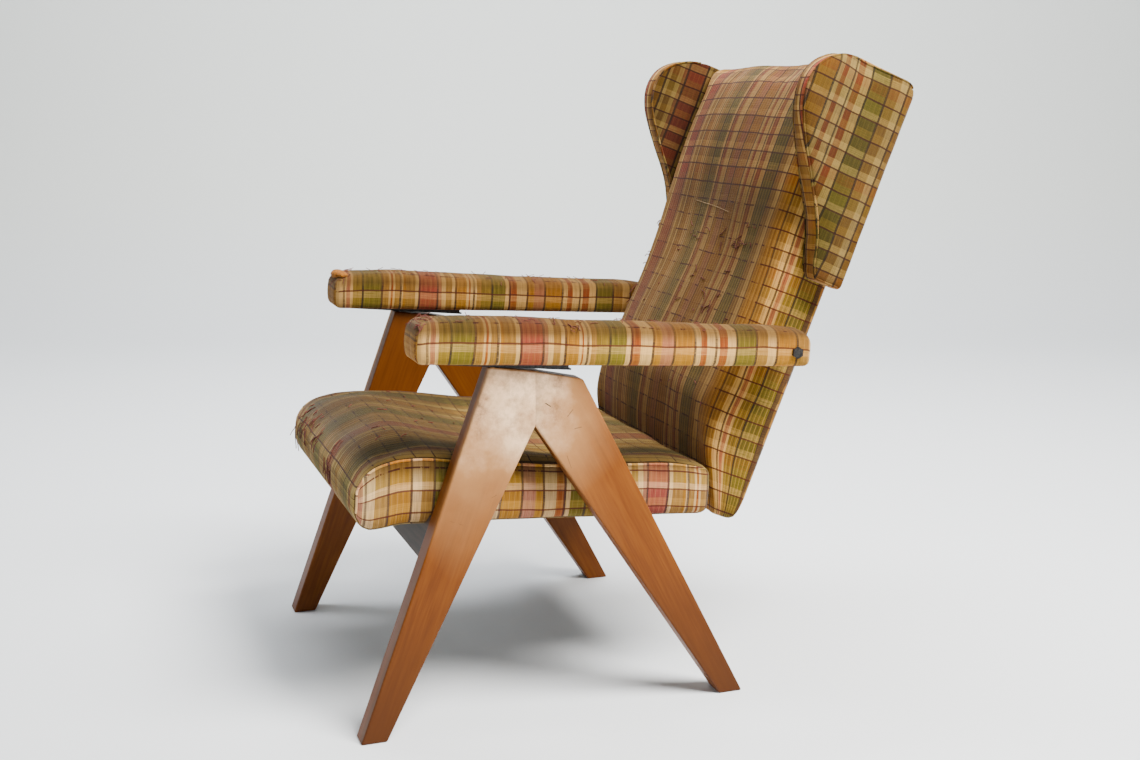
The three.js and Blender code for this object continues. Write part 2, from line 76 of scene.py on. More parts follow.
# %% [markdown]
# A pad starts as a cube, scaled to its box, with its edges bevelled and its faces cut into a fine grid.
# The cloth is laid on that box as a UV map in metres, so stripes keep their width, and only then is the
# box pushed into the real, crowned and sagging shape. The cloth follows because its UV map is kept.


# %% Blocks, curves and cloth
def curve_through(points):
    """A smooth curve y(x) through a few points, level with the chord of its neighbours at each."""
    xs, ys = (np.array(column, float) for column in zip(*points))
    slope = np.gradient(ys, xs)

    def at(x):
        x = np.clip(x, xs[0], xs[-1])
        i = int(np.clip(np.searchsorted(xs, x) - 1, 0, len(xs) - 2))
        span = xs[i + 1] - xs[i]
        t = (x - xs[i]) / span
        rise = (1 + 2 * t) * (1 - t) ** 2 * ys[i] + t * t * (3 - 2 * t) * ys[i + 1]
        lean = t * (1 - t) ** 2 * slope[i] - t * t * (1 - t) * slope[i + 1]
        return float(rise + span * lean)

    return at


def soft_step(low, high, x):
    t = min(max((x - low) / (high - low), 0.0), 1.0)
    return t * t * (3 - 2 * t)


def hump(t):
    """A round hump: nothing at 0 and 1, and one in the middle."""
    return math.sin(math.pi * min(max(t, 0), 1))


def block(low, high, radius, cell, segments=4):
    """A box with rounded edges whose faces are cut into cells of about one size."""
    low, high = Vector(low), Vector(high)
    bm = bmesh.new()
    bmesh.ops.create_cube(bm, size=1)
    bmesh.ops.scale(bm, vec=high - low, verts=bm.verts)
    bmesh.ops.translate(bm, vec=(high + low) / 2, verts=bm.verts)
    bmesh.ops.bevel(bm, geom=bm.edges[:], offset=radius, offset_type="OFFSET", segments=segments,
                    profile=0.5, affect="EDGES", material=-1)
    for axis in range(3):
        long_edges = []
        for edge in bm.edges:
            span = edge.verts[1].co - edge.verts[0].co
            if abs(span[axis]) > 0.99 * span.length and span.length > 2 * cell:
                long_edges.append(edge)
        if long_edges:
            cuts = max(round(long_edges[0].calc_length() / cell) - 1, 1)
            bmesh.ops.subdivide_edges(bm, edges=long_edges, cuts=cuts, use_grid_fill=True)
    bm.normal_update()
    return bm


def lay_cloth(bm, rule):
    """Stores the cloth's own coordinates, in metres: across the stripes and along them."""
    layer = bm.loops.layers.uv.new("cloth")
    for face in bm.faces:
        for loop in face.loops:
            loop[layer].uv = rule(face.normal, loop.vert.co)


def finish_piece(name, bm, place, materials):
    bmesh.ops.transform(bm, matrix=place, verts=bm.verts)
    bm.normal_update()
    mesh = bpy.data.meshes.new(name)
    bm.to_mesh(mesh)
    bm.free()
    for material in materials:
        mesh.materials.append(material)
    mesh.polygons.foreach_set("use_smooth", [True] * len(mesh.polygons))
    piece = bpy.data.objects.new(name, mesh)
    bpy.context.scene.collection.objects.link(piece)
    return piece


def paint(piece, name, rule):
    """Stores one number per vertex, such as how worn the cloth is there."""
    layer = piece.data.attributes.new(name, "FLOAT", "POINT")
    layer.data.foreach_set("value", [rule(vertex.co) for vertex in piece.data.vertices])


# %% [markdown]
# Padded cloth is stretched over its stuffing, and a real cloth simulation gives that tight, slightly
# uneven swell. The pad is built a little small, blown up with pressure, and each point may move only a
# capped distance, so that neighbours stay clear.


# %% Swell a pad with the cloth solver
CLOTH_MASS, CLOTH_STIFFNESS, CLOTH_BENDING, CLOTH_STEPS, CLOTH_PRESSURE = 0.4, 20, 4, 15, 1.5


def swell(piece, cap, pinned):
    """Blows the pad up and returns how far its points would go without the cap."""
    mesh = piece.data
    rest = np.empty(len(mesh.vertices) * 3)
    mesh.vertices.foreach_get("co", rest)
    group = piece.vertex_groups.new(name="held")
    group.add([v.index for v in mesh.vertices if pinned(v.co)], 1.0, "REPLACE")
    cloth = piece.modifiers.new("Cloth", "CLOTH")
    cloth.settings.quality = 5
    cloth.settings.mass = CLOTH_MASS
    cloth.settings.tension_stiffness = CLOTH_STIFFNESS
    cloth.settings.compression_stiffness = CLOTH_STIFFNESS
    cloth.settings.bending_stiffness = CLOTH_BENDING
    cloth.settings.use_pressure = True
    cloth.settings.uniform_pressure_force = CLOTH_PRESSURE
    cloth.settings.vertex_group_mass = "held"
    cloth.settings.effector_weights.gravity = 0
    cloth.collision_settings.use_collision = False
    scene = bpy.context.scene
    for step in range(1, CLOTH_STEPS + 1):
        scene.frame_set(step)
    swollen = piece.evaluated_get(bpy.context.evaluated_depsgraph_get()).data
    moved = np.empty_like(rest)
    swollen.vertices.foreach_get("co", moved)
    piece.modifiers.remove(cloth)
    piece.vertex_groups.remove(group)
    scene.frame_set(1)
    move = (moved - rest).reshape(-1, 3)
    far = np.linalg.norm(move, axis=1, keepdims=True)
    move *= np.minimum(1.0, cap / np.maximum(far, 1e-9))
    mesh.vertices.foreach_set("co", (rest.reshape(-1, 3) + move).ravel())
    mesh.update()
    return float(far.max())


def upholster(pad, body, node):
    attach(pad, body)
    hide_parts(node)


# %% [markdown]
# Piping and loose threads are thin tubes. A tube starts as a small circle, and its rim is extruded from
# point to point along a path. A path is laid on the finished pad by looking up the nearest point of it.


# %% Tubes on a surface
def verts_of(geometry):
    return [g for g in geometry if isinstance(g, bmesh.types.BMVert)]


def edges_of(geometry):
    return [g for g in geometry if isinstance(g, bmesh.types.BMEdge)]


def tube(bm, path, radius, sides):
    side = Vector((0.31, 0.52, 0.80))
    frames = []
    for i, point in enumerate(path):
        ahead = (path[min(i + 1, len(path) - 1)] - path[max(i - 1, 0)]).normalized()
        side = (side - ahead * side.dot(ahead)).normalized()
        turn = Matrix((side, ahead.cross(side), ahead)).transposed()
        frames.append(Matrix.Translation(point) @ turn.to_4x4())
    start = bmesh.ops.create_circle(bm, cap_ends=True, segments=sides, radius=radius, matrix=frames[0])
    ring = start["verts"]
    rim = list({edge for vert in ring for edge in vert.link_edges})
    for before, after in zip(frames, frames[1:]):
        grown = bmesh.ops.extrude_edge_only(bm, edges=rim)["geom"]
        rim = edges_of(grown)
        bmesh.ops.transform(bm, matrix=after @ before.inverted(), verts=verts_of(grown))
    bmesh.ops.edgeloop_fill(bm, edges=rim)


def surface_of(piece):
    corners = [vertex.co.copy() for vertex in piece.data.vertices]
    return BVHTree.FromPolygons(corners, [tuple(face.vertices) for face in piece.data.polygons])


def laid_on(piece, points, lift, step=0.006):
    """A path through the points, cut into short steps and put just above the piece's surface."""
    tree = surface_of(piece)
    path = []
    for start, end in zip(points, points[1:]):
        count = max(round((end - start).length / step), 1)
        for i in range(count):
            near, normal, _, _ = tree.find_nearest(start.lerp(end, i / count))
            path.append(near + normal * lift)
    return path


def piping(name, paths, radius, rule, home, material):
    """Tubes along some paths, in cloth that follows the rule of the pad they lie on."""
    bm = bmesh.new()
    for path in paths:
        tube(bm, path, radius, 6)
    bmesh.ops.recalc_face_normals(bm, faces=bm.faces)
    lay_cloth(bm, lambda normal, co: rule(home @ co))
    made = finish_piece(name, bm, Matrix(), [material])
    return made


# %% [markdown]
# The plaid is two sets of coloured yarns. The warp runs up the back, along the seat and across the arms,
# and its stripes repeat about every 59 cm, so two colour ramps share one repeat. The weft crosses it
# with softer bands and thin dark red lines. Widths are in millimetres, in the order of the stripes.

# %% Yarn colours and stripes
YARNS = {
    "green": (0.125, 0.112, 0.007),
    "olive": (0.195, 0.130, 0.011),
    "mustard": (0.345, 0.148, 0.006),
    "tan": (0.290, 0.148, 0.024),
    "cream": (0.590, 0.375, 0.140),
    "pink": (0.350, 0.130, 0.068),
    "rose": (0.300, 0.044, 0.034),
    "rust": (0.270, 0.056, 0.008),
    "brown": (0.085, 0.034, 0.008),
    "line": (0.060, 0.012, 0.008),
}
RULE_STEP = 0.033
WARP_FIRST = (
    ("cream", 5), ("pink", 7), ("cream", 5), ("olive", 16), ("green", 33), ("tan", 13), ("cream", 4),
    ("rust", 3), ("cream", 4), ("tan", 9), ("cream", 5), ("mustard", 4), ("tan", 18), ("cream", 6),
    ("rose", 33), ("pink", 8), ("cream", 9), ("tan", 10), ("cream", 6), ("mustard", 21), ("cream", 4),
    ("rust", 3), ("cream", 5), ("cream", 6), ("tan", 8), ("olive", 19), ("green", 26), ("cream", 7),
)
WARP_SECOND = (
    ("rust", 14), ("cream", 19), ("mustard", 14), ("pink", 19), ("mustard", 33), ("cream", 11), ("rust", 9),
    ("cream", 13), ("cream", 7), ("rust", 12), ("cream", 14), ("green", 33), ("tan", 20), ("cream", 13),
    ("mustard", 33), ("tan", 21), ("cream", 12),
)
WEFT = (
    ("cream", 13), ("brown", 16), ("tan", 15), ("brown", 14), ("cream", 12), ("olive", 17), ("tan", 13),
    ("rust", 16), ("cream", 14), ("brown", 15),
)
LINE_STEP = 0.029
WEFT_SHARE, CHECK_SHARE = 0.27, 0.42


def repeat_of(stripes):
    return sum(width for _, width in stripes) / 1000


print("warp repeat", round(repeat_of(WARP_FIRST) + repeat_of(WARP_SECOND), 3), "m")


# %% [markdown]
# A material is a tree of nodes. This small class makes one node per call and links it, and a constant is
# set on its socket, so that a finish reads as a short recipe.

# %% Node helpers
class Nodes:
    """Short calls for one material's node tree."""

    def __init__(self, name):
        self.material = bpy.data.materials.new(name)
        self.material.use_nodes = True
        self.tree = self.material.node_tree
        self.shader = self.tree.nodes["Principled BSDF"]

    def node(self, kind, **settings):
        made = self.tree.nodes.new(kind)
        for key, value in settings.items():
            setattr(made, key, value)
        return made

    def link(self, source, target):
        self.tree.links.new(source, target)

    def feed(self, socket, value):
        if isinstance(value, bpy.types.NodeSocket):
            self.link(value, socket)
        else:
            socket.default_value = value

    def math(self, operation, a, b=0.0, c=0.0):
        made = self.node("ShaderNodeMath", operation=operation)
        for socket, value in zip(made.inputs, (a, b, c)):
            self.feed(socket, value)
        return made.outputs[0]

    def clamp(self, value, high=1.0):
        return self.math("MINIMUM", self.math("MAXIMUM", value, 0.0), high)

    def painted(self, name):
        """A number that was painted on the piece's vertices."""
        return self.node("ShaderNodeAttribute", attribute_name=name).outputs["Fac"]

    def laid(self, name):
        return self.node("ShaderNodeUVMap", uv_map=name).outputs[0]

    def place(self):
        return self.node("ShaderNodeTexCoord").outputs["Object"]

    def mix(self, factor, a, b, blend="MIX"):
        made = self.node("ShaderNodeMix", data_type="RGBA", blend_type=blend)
        for index, value in ((0, factor), (6, a), (7, b)):
            self.feed(made.inputs[index], value)
        return made.outputs[2]

    def noise(self, vector, scale, detail=2.0, roughness=0.5):
        made = self.node("ShaderNodeTexNoise")
        self.feed(made.inputs["Vector"], vector)
        made.inputs["Scale"].default_value = scale
        made.inputs["Detail"].default_value = detail
        made.inputs["Roughness"].default_value = roughness
        return made.outputs[0]

    def stretch(self, vector, scale):
        made = self.node("ShaderNodeMapping")
        self.feed(made.inputs["Vector"], vector)
        made.inputs["Scale"].default_value = scale
        return made.outputs[0]

    def ramp(self, factor, stops, interpolation="LINEAR"):
        made = self.node("ShaderNodeValToRGB")
        made.color_ramp.interpolation = interpolation
        elements = made.color_ramp.elements
        while len(elements) > 1:
            elements.remove(elements[-1])
        for index, (place, color) in enumerate(stops):
            element = elements[0] if index == 0 else elements.new(place)
            element.position = place
            element.color = color if len(color) == 4 else (*color, 1)
        self.feed(made.inputs[0], factor)
        return made.outputs[0]

    def grey(self, value):
        made = self.node("ShaderNodeCombineColor")
        for channel in made.inputs:
            self.link(value, channel)
        return made.outputs[0]

    def surface(self, color, roughness, **others):
        """Feeds the shader its colour, its roughness and any other input by name."""
        for name, value in {"Base_Color": color, "Roughness": roughness, **others}.items():
            self.feed(self.shader.inputs[name.replace("_", " ")], value)

    def bump(self, height, strength, distance):
        made = self.node("ShaderNodeBump")
        made.inputs["Strength"].default_value = strength
        made.inputs["Distance"].default_value = distance
        self.feed(made.inputs["Height"], height)
        self.link(made.outputs[0], self.shader.inputs["Normal"])


def stripe_stops(stripes):
    total = sum(width for _, width in stripes)
    place = 0.0
    stops = []
    for yarn, width in stripes:
        stops.append((place / total, YARNS[yarn]))
        place += width
    return stops


# %% [markdown]
# On the real cloth every crossing shows warp or weft, thread by thread. Fine noise, stretched along each
# thread, decides which one lies on top. Dark rules and pale and dark pins are single yarns in the warp.

# %% Weave the plaid
RULE_WIDTH, LINE_WIDTH = 0.0036, 0.0024
PIN_STEP, PIN_SHIFT, PIN_WIDTH, PALE_PIN_WIDTH = RULE_STEP / 4, RULE_STEP / 9, 0.0012, 0.0014
DRIFT = 0.005


def every(n, place, step, width):
    """One on a thin line at each step, and zero between the lines."""
    return n.math("LESS_THAN", n.math("FLOORED_MODULO", place, step), width)


def cloth_places(n, uv, place, shift):
    """Where a point lies across and along the stripes, with the slight drift of stretched cloth."""
    split = n.node("ShaderNodeSeparateXYZ")
    n.link(uv, split.inputs[0])
    drift = n.math("MULTIPLY", n.math("SUBTRACT", n.noise(place, 14), 0.5), DRIFT)
    return [n.math("ADD", n.math("ADD", split.outputs[i], drift), shift[i]) for i in range(2)]


def warp_color(n, across):
    first, second = repeat_of(WARP_FIRST), repeat_of(WARP_SECOND)
    turn = n.math("FLOORED_MODULO", across, first + second)
    rest = n.math("DIVIDE", n.math("SUBTRACT", turn, first), second)
    early = n.ramp(n.math("DIVIDE", turn, first), stripe_stops(WARP_FIRST), "CONSTANT")
    late = n.ramp(rest, stripe_stops(WARP_SECOND), "CONSTANT")
    return n.mix(n.math("GREATER_THAN", turn, first), early, late)


def weft_color(n, along):
    repeat = repeat_of(WEFT)
    turn = n.math("DIVIDE", n.math("FLOORED_MODULO", along, repeat), repeat)
    return n.ramp(turn, stripe_stops(WEFT), "CONSTANT")


# %% [markdown]
# Where the cloth is threadbare only its brown ground is left, with a hint of the stripes. The wear and the
# soil are painted on each pad's vertices, and noise makes their edges ragged. The soil number also holds
# painted shade in places, and it multiplies the colour, as dirt and shade darken cloth. Each piece has a
# tone for how much it has faded, but the tones of the seat's side boxing and the wings are painted light
# and shade.

# %% The worn plaid cloth
WORN_GROUND = (0.105, 0.064, 0.015, 1)
WORN_PALE = (0.250, 0.158, 0.052, 1)
DARK_RULE = (0.030, 0.020, 0.016, 1)
SOIL_AND_SHADE = (0.26, 0.23, 0.17, 1)


def wear_of(n, place, warp_threads):
    worn = n.painted("wear")
    patch = n.math("SUBTRACT", n.noise(place, 22, 4.0, 0.6), 0.5)
    worn = n.math("MULTIPLY_ADD", patch, 0.6, worn)
    worn = n.math("MULTIPLY_ADD", n.math("SUBTRACT", warp_threads, 0.5), 0.5, worn)
    return n.clamp(worn, 0.85)


def plaid(name, shift, tone, weft_share, pin_share):
    n = Nodes(name)
    uv, place = n.laid("cloth"), n.place()
    across, along = cloth_places(n, uv, place, shift)
    warp, weft = warp_color(n, across), weft_color(n, along)
    lines = every(n, along, LINE_STEP, LINE_WIDTH)
    rules = every(n, across, RULE_STEP, RULE_WIDTH)
    pins = every(n, across, PIN_STEP, PIN_WIDTH)
    pale_pins = every(n, n.math("ADD", across, PIN_SHIFT), PIN_STEP, PALE_PIN_WIDTH)

    warp_threads = n.noise(n.stretch(uv, (900, 30, 1)), 1.0, 2.0)
    weft_threads = n.noise(n.stretch(uv, (30, 900, 1)), 1.0, 2.0)
    share = n.math("MULTIPLY_ADD", n.math("SUBTRACT", weft_threads, warp_threads), 0.7, weft_share)
    color = n.mix(n.clamp(share), warp, weft)
    fleck = n.math("MULTIPLY_ADD", n.math("ADD", warp_threads, weft_threads), 0.7, 0.30)
    color = n.mix(1.0, color, n.grey(fleck), "MULTIPLY")

    worn = wear_of(n, place, warp_threads)
    streak = n.noise(n.stretch(uv, (170, 6, 1)), 1.0, 3.0, 0.6)
    ground = n.ramp(streak, [(0.36, WORN_GROUND), (0.62, WORN_PALE)])
    color = n.mix(worn, color, n.mix(0.46, ground, warp))
    color = n.mix(n.math("MULTIPLY", pale_pins, 0.7 * pin_share), color, (*YARNS["cream"], 1))
    pins = n.math("MULTIPLY", pins, n.math("MULTIPLY_ADD", worn, 0.12, pin_share))
    color = n.mix(pins, color, DARK_RULE)
    dashed = n.math("MULTIPLY", rules, n.math("MULTIPLY_ADD", weft_threads, 0.9, 0.36))
    color = n.mix(n.math("MULTIPLY", dashed, n.math("MULTIPLY_ADD", worn, -0.6, 1.0)), color, DARK_RULE)
    frayed = n.math("GREATER_THAN", n.math("MULTIPLY", n.noise(place, 75, 3.0), worn), 0.36)
    kept = n.math("MULTIPLY", lines, n.math("MULTIPLY_ADD", frayed, -0.75, 0.88))
    color = n.mix(kept, color, (*YARNS["line"], 1))
    dirt = n.ramp(n.noise(place, 5, 3.0), [(0.35, (0.74, 0.70, 0.64)), (0.65, (1, 1, 1))])
    color = n.mix(0.8, color, dirt, "MULTIPLY")
    color = n.mix(1.0, color, tone, "MULTIPLY")
    # Soil and painted shade: the painted number darkens the cloth where it is dirty and where shade is
    # painted on.
    color = n.mix(n.painted("soil_and_shade"), color, SOIL_AND_SHADE, "MULTIPLY")

    n.surface(color, 0.95, Specular_IOR_Level=0.12, Sheen_Weight=0.06, Sheen_Roughness=0.5)
    n.bump(n.math("ADD", warp_threads, weft_threads), 0.45, 0.0014)
    return n.material


FADED, DUSTY, OLIVE = (1.18, 1.1, 0.98, 1), (1.0, 0.88, 0.62, 1), (0.72, 0.75, 0.50, 1)
SHADED_WING_TONE, PAINTED_LIGHT_TONE = (0.36, 0.37, 0.26, 1), (1.3, 1.35, 1.7, 1)
seat_cloth = plaid("seat_plaid", (0.0805, 0.0), OLIVE, WEFT_SHARE, 0.42)
# The seat's side boxing is toned lighter than the rest of the plaid: painted light where the arms shade it.
boxing_cloth = plaid("seat_side_plaid_painted_light", (0.0605, 0.012), PAINTED_LIGHT_TONE, CHECK_SHARE, 0.12)
back_cloth = plaid("back_plaid", (0.3285, 0.02), DUSTY, WEFT_SHARE, 0.40)
# The wings' faces are toned far darker than their edge strip, one plaid in a shaded and a lit copy: painted
# shade on the faces, painted light on the strip.
wing_cloth = plaid("wing_plaid_painted_shade", (0.5435, 0.0), SHADED_WING_TONE, CHECK_SHARE, 0.10)
edge_cloth = plaid("wing_edge_plaid_painted_light", (0.5435, 0.0), DUSTY, WEFT_SHARE, 0.12)
arm_cloth = plaid("arm_plaid", (-0.014, 0.0), FADED, WEFT_SHARE, 0.12)
print("plaid cloth ready")

# %% [markdown]
# The leg boards are stained and varnished beech. Their grain runs along each board, the varnish has
# darkened towards the feet, and hands and knees have rubbed the tops of the frames down to pale wood
# with grey stains. The grain reads a UV map laid along each board.


# %% Varnished wood
STAIN_DARK, STAIN, STAIN_LIGHT = (0.100, 0.024, 0.0015), (0.165, 0.045, 0.003), (0.225, 0.069, 0.006)
FOOT_STAIN_AND_SHADE, THIN_VARNISH = (0.060, 0.016, 0.0013, 1), (0.38, 0.18, 0.065, 1)
GREY_STAIN, BARE_WOOD, BLEACHED_WOOD = (0.12, 0.08, 0.05), (0.52, 0.32, 0.18), (0.92, 0.63, 0.38)
CRACK = (0.020, 0.014, 0.010, 1)


def leg_wood():
    n = Nodes("varnished_wood")
    uv, place = n.laid("grain"), n.place()
    fibres = n.noise(n.stretch(uv, (14, 260, 1)), 1.0, 5.0, 0.6)
    figure = n.noise(n.stretch(uv, (3.5, 42, 1)), 1.0, 3.0, 0.55)
    grain = n.math("MULTIPLY_ADD", fibres, 0.5, n.math("MULTIPLY", figure, 0.5))
    color = n.ramp(grain, [(0.3, STAIN_DARK), (0.5, STAIN), (0.7, STAIN_LIGHT)])
    # Darker towards the feet, and painted shade on the inner faces.
    color = n.mix(n.math("MULTIPLY", n.painted("foot"), 0.9), color, FOOT_STAIN_AND_SHADE)
    rub = n.painted("rub")
    blotch = n.math("SUBTRACT", n.noise(place, 16, 4.0, 0.6), 0.5)
    rubbed = n.clamp(n.math("ADD", rub, n.math("MULTIPLY", n.math("MULTIPLY", blotch, 1.2), rub)))
    pale = n.ramp(n.noise(place, 24, 6.0, 0.7), [(0.33, GREY_STAIN), (0.43, BARE_WOOD), (0.6, BLEACHED_WOOD)])
    pale = n.mix(n.math("MULTIPLY", fibres, 0.2), pale, (0.40, 0.26, 0.16, 1))
    color = n.mix(n.math("MULTIPLY", rubbed, 1.8), color, THIN_VARNISH)
    color = n.mix(n.math("MULTIPLY_ADD", rubbed, 1.9, -0.9), color, pale)
    cells = n.node("ShaderNodeTexVoronoi", feature="DISTANCE_TO_EDGE")
    cells.inputs["Scale"].default_value = 24
    n.link(n.stretch(place, (1, 1, 0.7)), cells.inputs["Vector"])
    cracked = n.math("LESS_THAN", cells.outputs["Distance"], 0.011)
    here = n.math("GREATER_THAN", n.noise(place, 20, 2.0), 0.63)
    cracked = n.math("MULTIPLY", n.math("MULTIPLY", cracked, here), rub)
    color = n.mix(cracked, color, CRACK)
    n.surface(color, n.math("MULTIPLY_ADD", rubbed, 0.2, 0.45), Specular_IOR_Level=0.15)
    n.bump(fibres, 0.12, 0.0006)
    return n.material


# %% [markdown]
# The other finishes need less: very dark and bare frame timber with plain grain, scuffed black steel,
# and two coarse weaves for the webbing and the lining under the seat.


# %% Frame timber, steel and linings
def plain_wood(name, light, dark, roughness):
    n = Nodes(name)
    grain = n.noise(n.stretch(n.place(), (9, 160, 160)), 1.0, 4.0, 0.6)
    n.surface(n.ramp(grain, [(0.3, dark), (0.7, light)]), roughness)
    n.bump(grain, 0.15, 0.0008)
    return n.material


def black_steel():
    n = Nodes("blackened_steel")
    scuff = n.noise(n.place(), 180, 4.0, 0.7)
    color = n.ramp(scuff, [(0.4, (0.012, 0.012, 0.013)), (0.75, (0.06, 0.055, 0.05))])
    n.surface(color, n.math("MULTIPLY_ADD", scuff, 0.3, 0.3), Metallic=0.7)
    n.bump(scuff, 0.1, 0.0005)
    return n.material


def lining(name, light, dark):
    n = Nodes(name)
    weave = n.noise(n.stretch(n.place(), (700, 700, 700)), 1.0, 2.0)
    n.surface(n.ramp(weave, [(0.3, dark), (0.7, light)]), 0.95)
    n.bump(weave, 0.3, 0.0006)
    return n.material


varnished = leg_wood()
dark_wood = plain_wood("near_black_wood", (0.045, 0.027, 0.018), (0.014, 0.009, 0.007), 0.6)
frame_wood = plain_wood("bare_frame_wood", (0.50, 0.33, 0.17), (0.33, 0.20, 0.09), 0.8)
steel = black_steel()
webbing = lining("jute_webbing", (0.40, 0.29, 0.15), (0.24, 0.17, 0.08))
dust_cloth = lining("black_lining", (0.03, 0.028, 0.026), (0.010, 0.009, 0.009))
print("wood, steel and lining ready")

# %% [markdown]
# The CAD nodes that already have the right shape keep it and only get a finish.

# %% Finish the carried-over nodes
FINISH = {
    "stretcher": dark_wood, "rail": frame_wood, "post": frame_wood, "core": frame_wood,
    "runner": steel, "bolt": steel, "washer": steel, "leaf": steel, "pin": steel,
    "webbing": webbing, "dust_cloth": dust_cloth,
}
for node_name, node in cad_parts.items():
    for ending, finish in FINISH.items():
        if node_name.endswith(ending):
            node.data.materials.clear()
            node.data.materials.append(finish)
print("finished", len(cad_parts), "nodes")

# %% [markdown]
# Each leg is a solid board. A copy of its CAD solid is merged, its flat faces are joined again, and its
# edges are rounded by a small bevel, as a joiner breaks an edge. The grain is laid along the board. Two
# numbers are painted on it: how dark it is, darker towards its foot and with painted shade on its inner
# face, and how far its top is rubbed bare.

# %% Leg boards
LEG_EDGE, LEG_CUTS = 0.0028, 3
LEG_LEAN = {"front": 0.37, "rear": -0.52}
RUB_START, RUB_FULL = 0.27, 0.48
RUB_REACH = {"front": 0.4, "rear": 0.115}


def leg_board(side, end):
    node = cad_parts[f"{side}_{end}_leg"]
    bm = bmesh.new()
    bm.from_mesh(node.data)
    bmesh.ops.remove_doubles(bm, verts=bm.verts, dist=1e-5)
    bmesh.ops.dissolve_limit(bm, angle_limit=0.01, verts=bm.verts, edges=bm.edges)
    joint = min if end == "rear" else max
    joint_y = joint(v.co.y for v in bm.verts)
    rims = [e for e in bm.edges if not all(abs(v.co.y - joint_y) < 1e-4 for v in e.verts)]
    bmesh.ops.bevel(bm, geom=rims, offset=LEG_EDGE, offset_type="OFFSET", segments=3, profile=0.5,
                    affect="EDGES", material=-1)
    lean = Vector((0, LEG_LEAN[end], 1)).normalized()
    beside = lean.cross(Vector((1, 0, 0)))
    layer = bm.loops.layers.uv.new("grain")
    for face in bm.faces:
        for loop in face.loops:
            co = loop.vert.co
            spread = co.dot(beside) if abs(face.normal.x) > 0.5 else co.x + 0.5 * co.dot(beside)
            loop[layer].uv = (co.dot(lean), spread)
    bmesh.ops.triangulate(bm, faces=[f for f in bm.faces if len(f.verts) > 4])
    bmesh.ops.subdivide_edges(bm, edges=bm.edges[:], cuts=LEG_CUTS, use_grid_fill=True)
    board = finish_piece(f"{side}_{end}_board", bm, Matrix(), [varnished])
    outward = 1 if side == "left" else -1
    face_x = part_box(node.name)[1 if side == "left" else 0][0]

    def rub(co):
        face = soft_step(0.016, 0.0, outward * (face_x - co.x))
        near_joint = soft_step(RUB_REACH[end], 0.0, abs(co.y - joint_y))
        return face * soft_step(RUB_START, RUB_FULL, co.z) * near_joint

    # Darker towards the foot; the inner face instead gets painted shade, darkest high up under the seat and
    # the arm.
    def darkening(co):
        inner = soft_step(0.004, 0.02, outward * (face_x - co.x))
        low = 1 - soft_step(0.0, 0.34, co.z)
        inner_shade = 0.25 + 0.5 * soft_step(0.2, 0.45, co.z)
        return low + (inner_shade - low) * inner

    paint(board, "foot", darkening)
    paint(board, "rub", rub)
    weighted = board.modifiers.new("Weighted", "WEIGHTED_NORMAL")
    weighted.keep_sharp = True
    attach(board, "base")
    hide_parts(node.name)
    return board


boards = [leg_board(side, end) for side in ("left", "right") for end in ("front", "rear")]
print("leg boards", [len(b.data.polygons) for b in boards])

# %% [markdown]
# The seat is a sprung pad about 10 cm thick with a round nose that droops in front. Its top sags where
# people sat, and a separate boxing strip with its stripes upright closes each side.

# %% Seat pad
SEAT_HALF, SEAT_LENGTH, SEAT_BOX, SEAT_EDGE, SEAT_CELL = 0.2575, 0.551, 0.09, 0.016, 0.009
SEAT_SAG, SEAT_CROWN, SEAT_LUMP, SEAT_PINCH, SEAT_RECESS = 0.017, 0.007, 0.0035, 0.004, 0.021
SWELL_CAP = 0.006
seat_top = curve_through([(0.0, 0.076), (0.03, 0.081), (0.25, 0.090), (0.40, 0.099), (0.46, 0.101),
                          (0.50, 0.096), (0.527, 0.084), (0.543, 0.066), (0.551, 0.050)])
seat_under = curve_through([(0.0, 0.002), (0.44, 0.0), (0.485, -0.001), (0.51, -0.006), (0.53, -0.006),
                            (0.543, 0.004), (0.551, 0.018)])


def seat_cloth_rule(normal, co):
    if abs(normal.x) > 0.72:
        return (-co.y, co.z)
    return (co.x, -co.y + (SEAT_BOX - co.z))


def seat_shape(co):
    s = -co.y
    low, high = seat_under(s), seat_top(s)
    k = co.z / SEAT_BOX
    inside = 1 - abs(co.x) / SEAT_HALF
    sag = SEAT_SAG * soft_step(0.0, 0.55, inside) * math.exp(-((s - 0.24) / 0.16) ** 2)
    crown = SEAT_CROWN * soft_step(0.0, 0.5, inside) * soft_step(0.30, 0.48, s)
    lump = SEAT_LUMP * noise.noise(Vector((co.x * 9, s * 9, 3.1)))
    pinch = SEAT_PINCH * hump(k) * soft_step(0.6, 1.0, abs(co.x) / SEAT_HALF)
    x = co.x + math.copysign(pinch, co.x) + 0.0015 * noise.noise(Vector((s * 18, co.z * 18, co.x)))
    return Vector((x, co.y, low + (high - low) * k + k * (crown - sag + lump)))


def over_rails(co):
    """Where the pad is hollow underneath, to take the rails and the webbing."""
    return abs(co.x) < SEAT_HALF - 0.022 and -SEAT_LENGTH + 0.07 < co.y < -0.026


